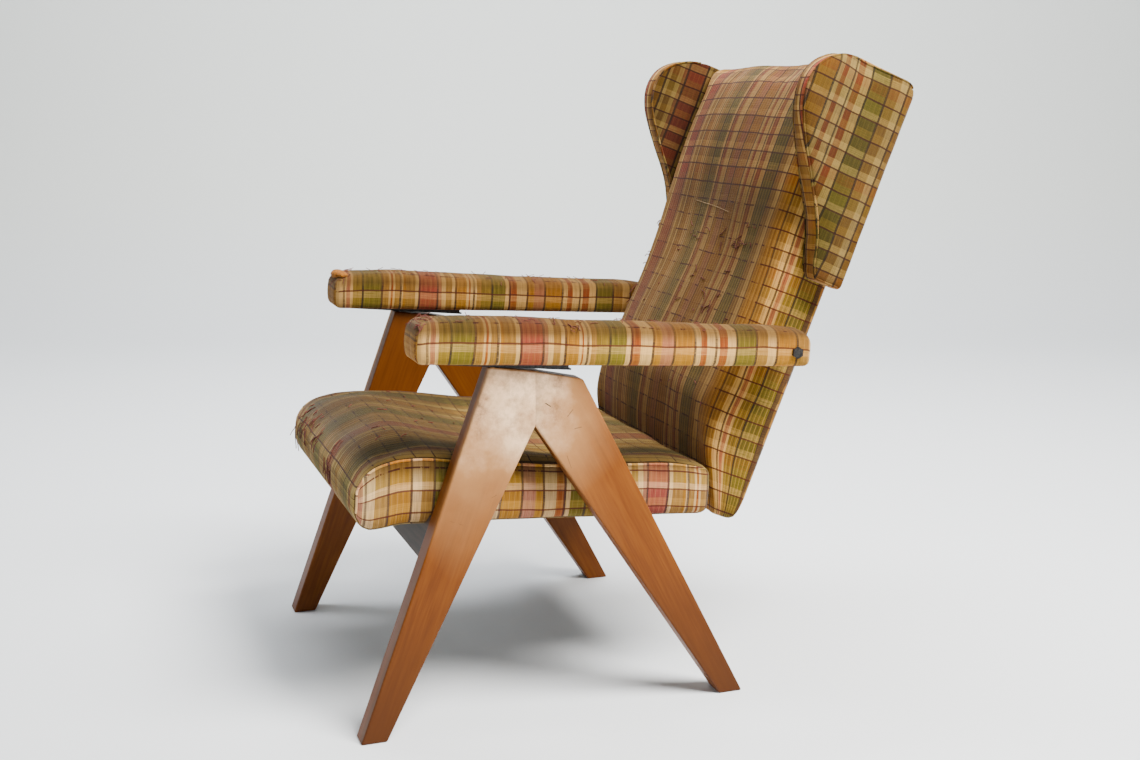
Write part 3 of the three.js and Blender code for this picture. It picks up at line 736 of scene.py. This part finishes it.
def build_seat():
    bm = block((-SEAT_HALF, -SEAT_LENGTH, 0), (SEAT_HALF, 0, SEAT_BOX), SEAT_EDGE, SEAT_CELL)
    lay_cloth(bm, seat_cloth_rule)
    for face in bm.faces:
        face.material_index = 1 if abs(face.normal.x) > 0.72 else 0
    under = [f for f in bm.faces if f.normal.z < -0.99 and over_rails(f.calc_center_median())]
    for vert in bm.verts:
        vert.co = seat_shape(vert.co)
    lifted = bmesh.ops.extrude_face_region(bm, geom=under)["geom"]
    bmesh.ops.delete(bm, geom=[f for f in under if f.is_valid], context="FACES")
    raised = verts_of(lifted)
    bmesh.ops.translate(bm, vec=(0, 0, SEAT_RECESS), verts=raised)
    print("seat recess", len(raised), "points")
    return finish_piece("seat_cushion", bm, seat_place, [seat_cloth, boxing_cloth])


seat = build_seat()
seat_home = seat_place.inverted()


def seat_wear(co):
    here = seat_home @ co
    top = soft_step(0.055, 0.085, here.z)
    nose = soft_step(0.45, 0.53, -here.y) * 0.25
    return 0.70 * top + nose * (1 - 0.5 * top)


paint(seat, "wear", seat_wear)
# The seat's top is darkened: soil, and painted shade on the face turned up to the light.
paint(seat, "soil_and_shade", lambda co: 0.96 * soft_step(0.06, 0.09, (seat_home @ co).z))
print("seat swell", round(swell(seat, SWELL_CAP, lambda co: (seat_home @ co).z < 0.03), 4))
upholster(seat, "base", "seat_pad")
print("seat", len(seat.data.polygons), "faces")

# %% [markdown]
# A covered cord closes each long seam of the seat, where the top meets the boxing. It could be a bump in
# the material, but a real tube catches the light and shows in the outline. Its path runs along the box's
# edge, takes the pad's shape and is laid on the swollen cloth.

# %% Seat seams
SEAM_INSET, SEAM_RADIUS = 0.0047, 0.0021


def seat_seam(side):
    x = side * (SEAT_HALF - SEAM_INSET)
    corner = (-SEAT_LENGTH + SEAM_INSET, SEAT_BOX - SEAM_INSET)
    stops = [(-0.012, corner[1])]
    stops += [(y, corner[1]) for y in np.linspace(-0.05, corner[0] + 0.01, 60)]
    stops += [(corner[0], z) for z in np.linspace(corner[1] - 0.01, 0.012, 8)]
    return laid_on(seat, [seat_place @ seat_shape(Vector((x, y, z))) for y, z in stops], 0.0)


seams = piping("seat_seams", [seat_seam(1), seat_seam(-1)], SEAM_RADIUS,
               lambda co: (-co.y, co.z), seat_home, boxing_cloth)
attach(seams, "base")
print("seat seams", len(seams.data.polygons), "faces")

# %% [markdown]
# The back is one long padded slab that thins to its foot behind the seat. Its cloth wraps from the front
# round soft edges to the sides, so the stripes run on without a break. The headrest kept its colours
# because the sitter's back never reached it.

# %% Back pad
BACK_HALF, BACK_LENGTH, BACK_THICK, BACK_EDGE = 0.249, 0.720, 0.100, 0.022
BACK_CELL, BACK_CROWN, BACK_HOLLOW, BACK_LUMP, HEAD_CROWN = 0.0095, 0.010, 0.012, 0.0035, 0.009
PANEL_HALF, PANEL_FOOT, PANEL_TOP, PANEL_RECESS = 0.233, 0.026, 0.690, 0.009
back_front = curve_through([(0.0, 0.044), (0.05, 0.070), (0.095, 0.093), (0.13, 0.1005), (0.22, 0.099),
                            (0.35, 0.0985), (0.48, 0.102), (0.60, 0.104), (0.72, 0.100)])


def back_cloth_rule(normal, co):
    behind = co.y + BACK_THICK
    over_side = behind if abs(co.x) > BACK_HALF - BACK_EDGE - 1e-5 else 0.0
    over_top = behind if co.z > BACK_LENGTH - BACK_EDGE - 1e-5 else 0.0
    if abs(normal.x) > 0.6:
        over_top = 0.0
    elif normal.z > 0.6:
        over_side = 0.0
    return (math.copysign(abs(co.x) + over_side, co.x), co.z + over_top)


def back_shape(co):
    a, x, y = co.z, abs(co.x), co.y
    u, v = (x - BACK_HALF) / BACK_EDGE + 1, y / BACK_EDGE + 1
    if min(u, v) > 0:
        outward = (math.hypot(u, v) / max(u, v)) ** 0.8 - 1
        x += u * outward * BACK_EDGE
        y += v * outward * BACK_EDGE
    k = -y / BACK_THICK
    inside = 1 - x / BACK_HALF
    inset = min(PANEL_HALF - x, a - PANEL_FOOT, PANEL_TOP - a)
    rear = 0.004 * (1 - soft_step(0.0, 0.04, a)) + PANEL_RECESS * soft_step(-0.006, 0.0, inset)
    crown = BACK_CROWN * soft_step(0.0, 0.7, inside) * soft_step(0.03, 0.25, a) * soft_step(0.72, 0.62, a)
    hollow = BACK_HOLLOW * soft_step(0.0, 0.6, inside) * math.exp(-((a - 0.40) / 0.10) ** 2)
    lump = BACK_LUMP * noise.noise(Vector((co.x * 8, a * 8, 7.7)))
    f = rear + (back_front(a) - rear) * k + k * (crown - hollow + lump)
    waist = 0.004 * hump(k) * soft_step(0.5, 1.0, x / BACK_HALF)
    a += HEAD_CROWN * soft_step(0.0, 0.75, inside) * soft_step(0.60, BACK_LENGTH, a) * k
    return Vector((math.copysign(x - waist, co.x), -f, a))


def build_back():
    bm = block((-BACK_HALF, -BACK_THICK, 0), (BACK_HALF, 0, BACK_LENGTH), BACK_EDGE, BACK_CELL, 5)
    lay_cloth(bm, back_cloth_rule)
    for vert in bm.verts:
        vert.co = back_shape(vert.co)
    return finish_piece("back_cushion", bm, back_place, [back_cloth])


back = build_back()
back_home = back_place.inverted()


def back_wear(co):
    here = back_home @ co
    front = soft_step(0.05, 0.085, -here.y) * soft_step(0.245, 0.225, abs(here.x))
    sitter = soft_step(0.525, 0.465, here.z + 0.02 * noise.noise(Vector((here.x * 12, 0, 0))))
    return front * (0.04 + 0.72 * sitter)


# Soil and painted shade over the back's front, more on the headrest and in a band just below it.
def back_soil_and_shade(co):
    here = back_home @ co
    front = soft_step(0.05, 0.085, -here.y) * soft_step(0.25, 0.16, abs(here.x))
    below_head = math.exp(-((here.z - 0.478) / 0.03) ** 2)
    head = soft_step(0.46, 0.54, here.z)
    return front * (0.54 + 0.22 * head + 0.26 * below_head)


paint(back, "wear", back_wear)
paint(back, "soil_and_shade", back_soil_and_shade)
print("back swell", round(swell(back, SWELL_CAP, lambda co: (back_home @ co).y > -0.03), 4))
upholster(back, "back", "back_pad")
print("back", len(back.data.polygons), "faces")

# %% [markdown]
# The outside of the back is a flat cloth panel, stretched over the frame and tacked at its edges. It lies
# in the recess of the pad, so its rim doesn't show from the side, and it hangs a little slack between.

# %% Rear panel
PANEL_FRONT, PANEL_BACK, PANEL_EDGE, PANEL_CELL = -0.0058, -0.0036, 0.0010, 0.012


def build_panel():
    bm = block((-PANEL_HALF, PANEL_FRONT, PANEL_FOOT), (PANEL_HALF, PANEL_BACK, PANEL_TOP), PANEL_EDGE,
               PANEL_CELL, 2)
    lay_cloth(bm, lambda normal, co: (co.x, co.z))
    for vert in bm.verts:
        co = vert.co
        slack = soft_step(0, 0.5, 1 - abs(co.x) / PANEL_HALF) * soft_step(PANEL_FOOT, 0.2, co.z)
        slack *= soft_step(PANEL_TOP, 0.5, co.z)
        vert.co.y += 0.002 * slack + 0.0006 * noise.noise(co * 14)
    return finish_piece("back_panel", bm, back_place, [back_cloth])


panel = build_panel()
paint(panel, "wear", lambda co: 0.12)
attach(panel, "back")
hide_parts("back_panel_cloth")
print("rear panel", len(panel.data.polygons), "faces")

# %% [markdown]
# A wing is a padded board on the side of the back. Its front edge swings forward beside the head and
# back to the frame lower down, with a narrow boxing strip on the edge.

# %% Wings
WING_IN, WING_OUT, WING_FOOT, WING_TOP = 0.2505, 0.2875, 0.390, 0.719
wing_front = curve_through([(0.390, 0.046), (0.402, 0.053), (0.455, 0.073), (0.484, 0.088), (0.515, 0.110),
                            (0.546, 0.134), (0.579, 0.158), (0.609, 0.176), (0.640, 0.1855), (0.662, 0.185),
                            (0.684, 0.176), (0.700, 0.160), (0.711, 0.141), (0.719, 0.112)])
WING_SPAN, WING_CORNER, WING_EDGE, WING_CELL, WING_PUFF, WING_REAR = 0.16, 0.022, 0.009, 0.007, 0.004, -0.002
THIN_CAP = 0.003


def wing_flare(f):
    return 0.022 * max(f - 0.10, 0) / 0.09


def wing_shape(co, side):
    a = co.z
    k = -co.y / WING_SPAN
    f = WING_REAR + (wing_front(a) - WING_REAR) * k
    middle = (WING_IN + WING_OUT) / 2
    puff = WING_PUFF * hump(k) * hump((a - WING_FOOT) / (WING_TOP - WING_FOOT))
    out = abs(co.x) - middle
    x = abs(co.x) + math.copysign(puff, out) * min(abs(out) / 0.012, 1) - 0.003
    x = max(x, WING_IN)
    flare = wing_flare(f)
    u, v = (a - WING_TOP) / WING_CORNER + 1, (WING_REAR - f) / WING_CORNER + 1
    if min(u, v) > 0:
        inward = max(u, v) / math.hypot(u, v) - 1
        a += u * inward * WING_CORNER
        f -= v * inward * WING_CORNER
    lump = 0.0012 * noise.noise(Vector((f * 20, a * 20, side)))
    return Vector((side * (x + flare + lump), -f, a))


def wing_cloth_rule(normal, co):
    outward = normal.x * math.copysign(1, co.x)
    if outward > 0.6:
        return (co.y, co.z)
    if outward < -0.6:
        return (-co.y - 0.512, co.z)
    return (abs(co.x) - WING_IN - 0.4495, co.z - co.y)


def build_wing(name, side):
    low, high = sorted((side * WING_IN, side * WING_OUT))
    bm = block((low, -WING_SPAN, WING_FOOT), (high, 0, WING_TOP), WING_EDGE, WING_CELL, 4)
    for vert in bm.verts:
        vert.co = wing_shape(vert.co, side)
    bm.normal_update()
    lay_cloth(bm, wing_cloth_rule)
    for face in bm.faces:
        face.material_index = 1 if abs(face.normal.x) <= 0.6 else 0
    wing = finish_piece(f"{name}_wing_pad", bm, back_place, [wing_cloth, edge_cloth])
    paint(wing, "wear", lambda co: 0.06)

    # The inner faces of the wings are darkened: painted shade.
    def shaded_side(co):
        here = back_home @ co
        depth = abs(here.x) - WING_IN - wing_flare(-here.y)
        return 0.55 * soft_step(0.016, 0.006, depth)

    paint(wing, "soil_and_shade", shaded_side)
    swell(wing, THIN_CAP, lambda co: abs(co.x) < WING_IN + 0.008 or (back_home @ co).y > -0.012)
    upholster(wing, "back", f"{name}_wing")
    return wing


wings = [build_wing("left", 1), build_wing("right", -1)]
print("wings", [len(w.data.polygons) for w in wings])

# %% [markdown]
# Two lines of piping edge each wing: one runs all round its outer face, the other down the front edge only.
# They are tubes like the seat's seams, laid on the finished wing.

# %% Wing piping
RIM_INSET, RIM_RADIUS, RIM_LIFT = 0.0026, 0.0019, 0.0002


def wing_rim(wing, side, x, whole):
    front, top, foot = -WING_SPAN + RIM_INSET, WING_TOP - RIM_INSET, WING_FOOT + RIM_INSET
    stops = [(front, a) for a in np.linspace(top, foot, 60)]
    if whole:
        stops = [(y, top) for y in np.linspace(-0.004, front, 20)] + stops
        stops += [(y, foot) for y in np.linspace(front, -0.004, 8)]
    points = [back_place @ wing_shape(Vector((side * x, y, a)), side) for y, a in stops]
    return laid_on(wing, points, RIM_LIFT)


for name, wing, side in zip(("left", "right"), wings, (1, -1)):
    outer = wing_rim(wing, side, WING_OUT - RIM_INSET, True)
    inner = wing_rim(wing, side, WING_IN + RIM_INSET, False)
    rim = piping(f"{name}_wing_piping", [outer, inner], RIM_RADIUS, lambda co: (co.y, co.z), back_home,
                 wing_cloth)
    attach(rim, "back")
    print(rim.name, len(rim.data.polygons), "faces")

# %% [markdown]
# Each arm is a board under a padded cover with its stripes across. Elbows have worn the top bare, with a
# ragged edge, and the right arm is darker all over than the left.

# %% Arm pads
ARM_IN, ARM_OUT, ARM_LENGTH, ARM_BOX, ARM_EDGE, ARM_CELL = 0.2525, 0.3265, 0.603, 0.05, 0.010, 0.007
ARM_CROWN, ARM_LUMP, ARM_BULGE, ARM_NOSE = 0.004, 0.0022, 0.002, 0.003
ARM_MIDDLE, ARM_HALF = (ARM_IN + ARM_OUT) / 2, (ARM_OUT - ARM_IN) / 2
arm_top = curve_through([(0.0, 0.051), (0.012, 0.0555), (0.035, 0.0575), (0.25, 0.0555), (0.45, 0.052),
                         (0.58, 0.0495), (0.597, 0.047), (0.603, 0.042)])


def arm_cloth_rule(normal, co):
    if normal.y < -0.6:
        return (-(ARM_BOX - co.z), co.x)
    if abs(normal.x) > 0.6:
        return (co.y, ARM_HALF + ARM_BOX - co.z)
    return (co.y, abs(co.x) - ARM_MIDDLE)


def arm_shape(co, side):
    k = co.z / ARM_BOX
    edge = (abs(co.x) - ARM_MIDDLE) / ARM_HALF
    crown = ARM_CROWN * (1 - edge * edge)
    lump = ARM_LUMP * noise.noise(Vector((co.y * 14, edge * 2, side * 5)))
    x = ARM_MIDDLE + edge * (ARM_HALF - 0.001 + ARM_BULGE * hump(k))
    at_front = soft_step(0.05, 0.0, co.y)
    y = co.y - ARM_NOSE * hump(k) * at_front + 0.002 * at_front
    return Vector((side * x, y, k * (arm_top(co.y) + crown + lump)))


def build_arm(name, side):
    low, high = sorted((side * ARM_IN, side * ARM_OUT))
    bm = block((low, 0, 0), (high, ARM_LENGTH, ARM_BOX), ARM_EDGE, ARM_CELL, 4)
    lay_cloth(bm, arm_cloth_rule)
    for vert in bm.verts:
        vert.co = arm_shape(vert.co, side)
    arm = finish_piece(f"{name}_arm_cushion", bm, arm_place, [arm_cloth])
    home = arm_place.inverted()

    def arm_wear(co):
        here = home @ co
        ragged = here.z + 0.007 * noise.noise(Vector((here.y * 16, side, 0)))
        top = soft_step(0.036, 0.048, ragged)
        front = soft_step(0.026, 0.0, here.y)
        return min(0.85 * top + 0.7 * front, 0.95)

    paint(arm, "wear", arm_wear)
    swell(arm, THIN_CAP, lambda co: abs(co.x) < ARM_IN + 0.008 or (home @ co).z < 0.015)
    # The tops are soiled, and the right arm is darker all over than the left.
    darkening = 0.0 if side > 0 else 0.6
    paint(arm, "soil_and_shade", lambda co: darkening + (0.94 - darkening) * soft_step(0.034, 0.05, (home @ co).z))
    upholster(arm, f"{name}_arm", f"{name}_arm_pad")
    return arm


arms = [build_arm("left", 1), build_arm("right", -1)]
print("arms", [len(a.data.polygons) for a in arms])

# %% [markdown]
# Age shows in broken yarns: dark red snags lie on the back and the seat's nose, and short ends stand up
# from the arm tops. They could be a hair system, but tubes keep their shape in any program. One thread
# starts where a ray meets the cloth and wanders over it, rising and hanging towards its end.


# %% One loose thread
THREAD_STEPS, THREAD_STRAY = 9, 0.4


def yarn_material(name, light, dark):
    n = Nodes(name)
    n.surface(n.ramp(n.noise(n.place(), 300, 2.0), [(0.35, dark), (0.65, light)]), 1.0)
    return n.material


red_yarn = yarn_material("broken_red_yarn", (0.150, 0.035, 0.022), (0.060, 0.016, 0.011))
pale_yarn = yarn_material("pale_yarn", (0.330, 0.220, 0.110), (0.180, 0.110, 0.050))


def wander(tree, draw, start, aim, heading, length, lift, drop):
    spot, normal, _, _ = tree.ray_cast(start, aim)
    if spot is None:
        return None
    path = [spot - normal * 0.001]
    for i in range(1, THREAD_STEPS + 1):
        stray = Vector([draw.uniform(-THREAD_STRAY, THREAD_STRAY) for _ in range(3)])
        heading = (heading + stray).normalized()
        spot, normal, _, _ = tree.find_nearest(spot + heading * (length / THREAD_STEPS))
        rise = (i / THREAD_STEPS) ** 1.6
        path.append(spot + normal * (0.0008 + lift * rise) - Vector((0, 0, drop * rise * rise)))
    return path


def threads(name, piece, body, place, spots, radius, seed):
    """spots: (start, aim, heading, length, lift, drop), in the pad's own coordinates."""
    draw = random.Random(seed)
    tree = surface_of(piece)
    turn = place.to_3x3()
    bm = bmesh.new()
    for start, aim, heading, *ways in spots:
        path = wander(tree, draw, place @ Vector(start), turn @ Vector(aim), turn @ Vector(heading), *ways)
        if path:
            tube(bm, path, radius, 5)
    bmesh.ops.recalc_face_normals(bm, faces=bm.faces)
    made = finish_piece(name, bm, Matrix(), [red_yarn])
    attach(made, body)
    print(name, len(made.data.polygons), "faces")


# %% [markdown]
# Threads gather where the cloth was rubbed. Each row of a table draws some of them around a middle, in the
# pad's own coordinates, and a fixed seed draws the same threads on every run.


# %% Snags and loose ends
SNAG_RADIUS, END_RADIUS, DARN_RADIUS = 0.0007, 0.0005, 0.0005


def on_back(x, a, draw):
    return (x, -0.30, a), (0, 1, 0), (draw.choice((-1, 1)), 0, draw.uniform(-0.5, 0.3))


def on_nose(x, z, draw):
    return (x, -0.80, z), (0, 1, 0), (draw.uniform(-0.5, 0.5), 0, -1)


def on_top(x, y, draw):
    return (x, y, 0.30), (0, 0, -1), (draw.uniform(-1, 1), draw.uniform(-1, 1), 0)


def scatter(rows):
    """Each row: seed, count, middle, spread, length, lift, drop, and what turns a spot into a ray."""
    spots = []
    for seed, count, middle, spread, length, lift, drop, build in rows:
        draw = random.Random(seed)
        for _ in range(count):
            u, v = (m + draw.uniform(-s, s) for m, s in zip(middle, spread))
            ray = build(u, v, draw)
            spots.append((*ray, draw.uniform(*length), draw.uniform(0, lift), draw.uniform(0, drop)))
    return spots


back_snags = scatter((
    (1, 10, (0.07, 0.415), (0.09, 0.010), (0.012, 0.028), 0.003, 0.002, on_back),
    (2, 10, (0.05, 0.325), (0.08, 0.045), (0.012, 0.034), 0.004, 0.003, on_back),
    (3, 24, (0.0, 0.30), (0.22, 0.15), (0.004, 0.014), 0.002, 0.001, on_back),
    (4, 14, (-0.228, 0.34), (0.014, 0.09), (0.010, 0.034), 0.010, 0.012, on_back),
))
threads("back_snags", back, "back", back_place, back_snags, SNAG_RADIUS, 5)
darn_stops = ((-0.09, -0.1, 0.470), (0.0, -0.1, 0.464), (0.06, -0.1, 0.458))
darn_path = laid_on(back, [back_place @ Vector(stop) for stop in darn_stops], 0.0)
darn = piping("back_darn", [darn_path], DARN_RADIUS, lambda co: (co.x, co.z), back_home, pale_yarn)
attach(darn, "back")
seat_snags = scatter((
    (8, 30, (-0.13, 0.070), (0.09, 0.018), (0.012, 0.035), 0.004, 0.004, on_nose),
    (9, 14, (0.06, 0.062), (0.03, 0.025), (0.012, 0.03), 0.004, 0.004, on_nose),
    (10, 3, (-0.235, 0.050), (0.012, 0.03), (0.012, 0.03), 0.010, 0.010, on_nose),
    (11, 16, (0.0, -0.40), (0.22, 0.10), (0.006, 0.02), 0.003, 0.0, on_top),
))
threads("seat_snags", seat, "base", seat_place, seat_snags, SNAG_RADIUS, 12)
for name, arm, side in zip(("left", "right"), arms, (1, -1)):
    ends = scatter((
        (13 + side, 46, (side * 0.289, 0.27), (0.034, 0.25), (0.004, 0.016), 0.005, 0.001, on_top),
        (23 + side, 26, (side * 0.289, 0.014), (0.034, 0.012), (0.008, 0.024), 0.006, 0.003, on_top),
    ))
    threads(f"{name}_arm_ends", arm, f"{name}_arm", arm_place, ends, END_RADIUS, 33 + side)

# %% [markdown]
# At the front of the right arm the cover is worn through and its yellow foam shows. A few icospheres with
# rough surfaces, pressed flat, make the crumbling tuft.


# %% Bare foam
FOAM_TUFTS = ((-0.280, 0.010, 0.057, 0.013), (-0.266, 0.014, 0.057, 0.010), (-0.296, 0.013, 0.057, 0.011))


def foam_material():
    n = Nodes("crumbling_foam")
    cells = n.noise(n.place(), 420, 3.0, 0.7)
    n.surface(n.ramp(cells, [(0.3, (0.11, 0.036, 0.001)), (0.7, (0.34, 0.115, 0.003))]), 1.0)
    n.bump(cells, 0.8, 0.002)
    return n.material


def build_foam():
    bm = bmesh.new()
    for x, y, z, size in FOAM_TUFTS:
        ball = bmesh.ops.create_icosphere(bm, subdivisions=3, radius=size)["verts"]
        for vert in ball:
            vert.co *= 1 + 0.25 * noise.noise(vert.co * 260)
        bmesh.ops.scale(bm, vec=(1.2, 1.0, 0.55), verts=ball)
        bmesh.ops.translate(bm, vec=(x, y, z), verts=ball)
    foam = finish_piece("right_arm_foam", bm, arm_place, [foam_material()])
    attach(foam, "right_arm")
    return foam


foam = build_foam()
print("foam", len(foam.data.polygons), "faces")

# %% [markdown]
# A pale sweep of paper, curved up behind the chair, is floor and backdrop in one, as in a photo studio.
# One large soft light stands high on the camera's right and a little behind the chair. A weak one fills
# the front, a third lights the backdrop, and a dim warm world lifts the shade.

# %% Studio
VIEW_YAW, VIEW_PITCH = math.radians(70.37), math.radians(10.92)
away = Vector((-math.sin(VIEW_YAW), math.cos(VIEW_YAW), 0))
beside = Vector((0, 0, 1)).cross(away)
SWEEP_NEAR, SWEEP_FAR, SWEEP_BEND, SWEEP_HALF, SWEEP_RISE = -6, 3, 2.0, 9, 6


def build_sweep():
    bm = bmesh.new()
    start = [bm.verts.new(away * SWEEP_NEAR + beside * w) for w in (-SWEEP_HALF, SWEEP_HALF)]
    edge = bm.edges.new(start)
    moved = bmesh.ops.extrude_edge_only(bm, edges=[edge])["geom"]
    bmesh.ops.translate(bm, vec=away * (SWEEP_FAR - SWEEP_NEAR), verts=verts_of(moved))
    centre = away * SWEEP_FAR + Vector((0, 0, SWEEP_BEND))
    bend = bmesh.ops.spin(bm, geom=edges_of(moved), cent=centre, axis=beside, angle=-math.pi / 2, steps=16,
                          use_merge=False, use_duplicate=False)["geom_last"]
    rise = bmesh.ops.extrude_edge_only(bm, edges=edges_of(bend))["geom"]
    bmesh.ops.translate(bm, vec=(0, 0, SWEEP_RISE), verts=verts_of(rise))
    paper = Nodes("pale_paper")
    place = paper.place()
    height = paper.node("ShaderNodeSeparateXYZ")
    paper.link(place, height.inputs[0])
    level = paper.math("MULTIPLY_ADD", paper.noise(place, 90, 3.0), 0.1, height.outputs[2])
    paper.surface(paper.ramp(level, [(0.03, (0.78, 0.82, 0.87)), (0.5, (0.79, 0.83, 0.82))]), 0.9)
    sweep = finish_piece("sweep", bm, Matrix(), [paper.material])
    return sweep


sweep = build_sweep()


def soft_light(name, spot, target, size, power, tint=(1, 1, 1)):
    lamp = bpy.data.lights.new(name, "AREA")
    lamp.shape = "DISK"
    lamp.size = size
    lamp.energy = power
    lamp.color = tint
    holder = bpy.data.objects.new(name, lamp)
    holder.location = spot
    holder.rotation_euler = (Vector(target) - Vector(spot)).to_track_quat("-Z", "Y").to_euler()
    bpy.context.scene.collection.objects.link(holder)


soft_light("key_light", (1.8, 1.05, 3.3), (0, 0, 0.4), 1.9, 500, (1, 0.96, 0.90))
soft_light("fill_light", (0.9, -3.0, 1.9), (0, 0, 0.5), 2.4, 16)
soft_light("wall_light", (-0.9, -0.1, 3.4), away * 4.6 + Vector((0, 0, 0.8)), 2.4, 250)
world = bpy.data.worlds.new("studio")
world.use_nodes = True
sky = world.node_tree.nodes["Background"]
sky.inputs["Color"].default_value = (1.0, 0.98, 0.94, 1)
sky.inputs["Strength"].default_value = 0.08
bpy.context.scene.world = world
print("studio ready")

# %% [markdown]
# The camera stands where the photograph was taken from: to the chair's front left, a little below its top,
# looking down by eleven degrees, with a lens of about 46 mm on a full frame.

# %% Camera
CAMERA_SPOT = Vector((2.234, -0.8116, 0.900))
SENSOR, FOCAL_SHARE = 36, 1473 / 1140
lens = bpy.data.cameras.new("camera")
lens.sensor_width = SENSOR
lens.lens = SENSOR * FOCAL_SHARE
camera = bpy.data.objects.new("camera", lens)
toward_camera = -away * math.cos(VIEW_PITCH) + Vector((0, 0, math.sin(VIEW_PITCH)))
camera.location = CAMERA_SPOT
camera.rotation_euler = toward_camera.to_track_quat("Z", "Y").to_euler()
bpy.context.scene.collection.objects.link(camera)
bpy.context.scene.camera = camera
print("camera at", tuple(round(v, 3) for v in camera.location))
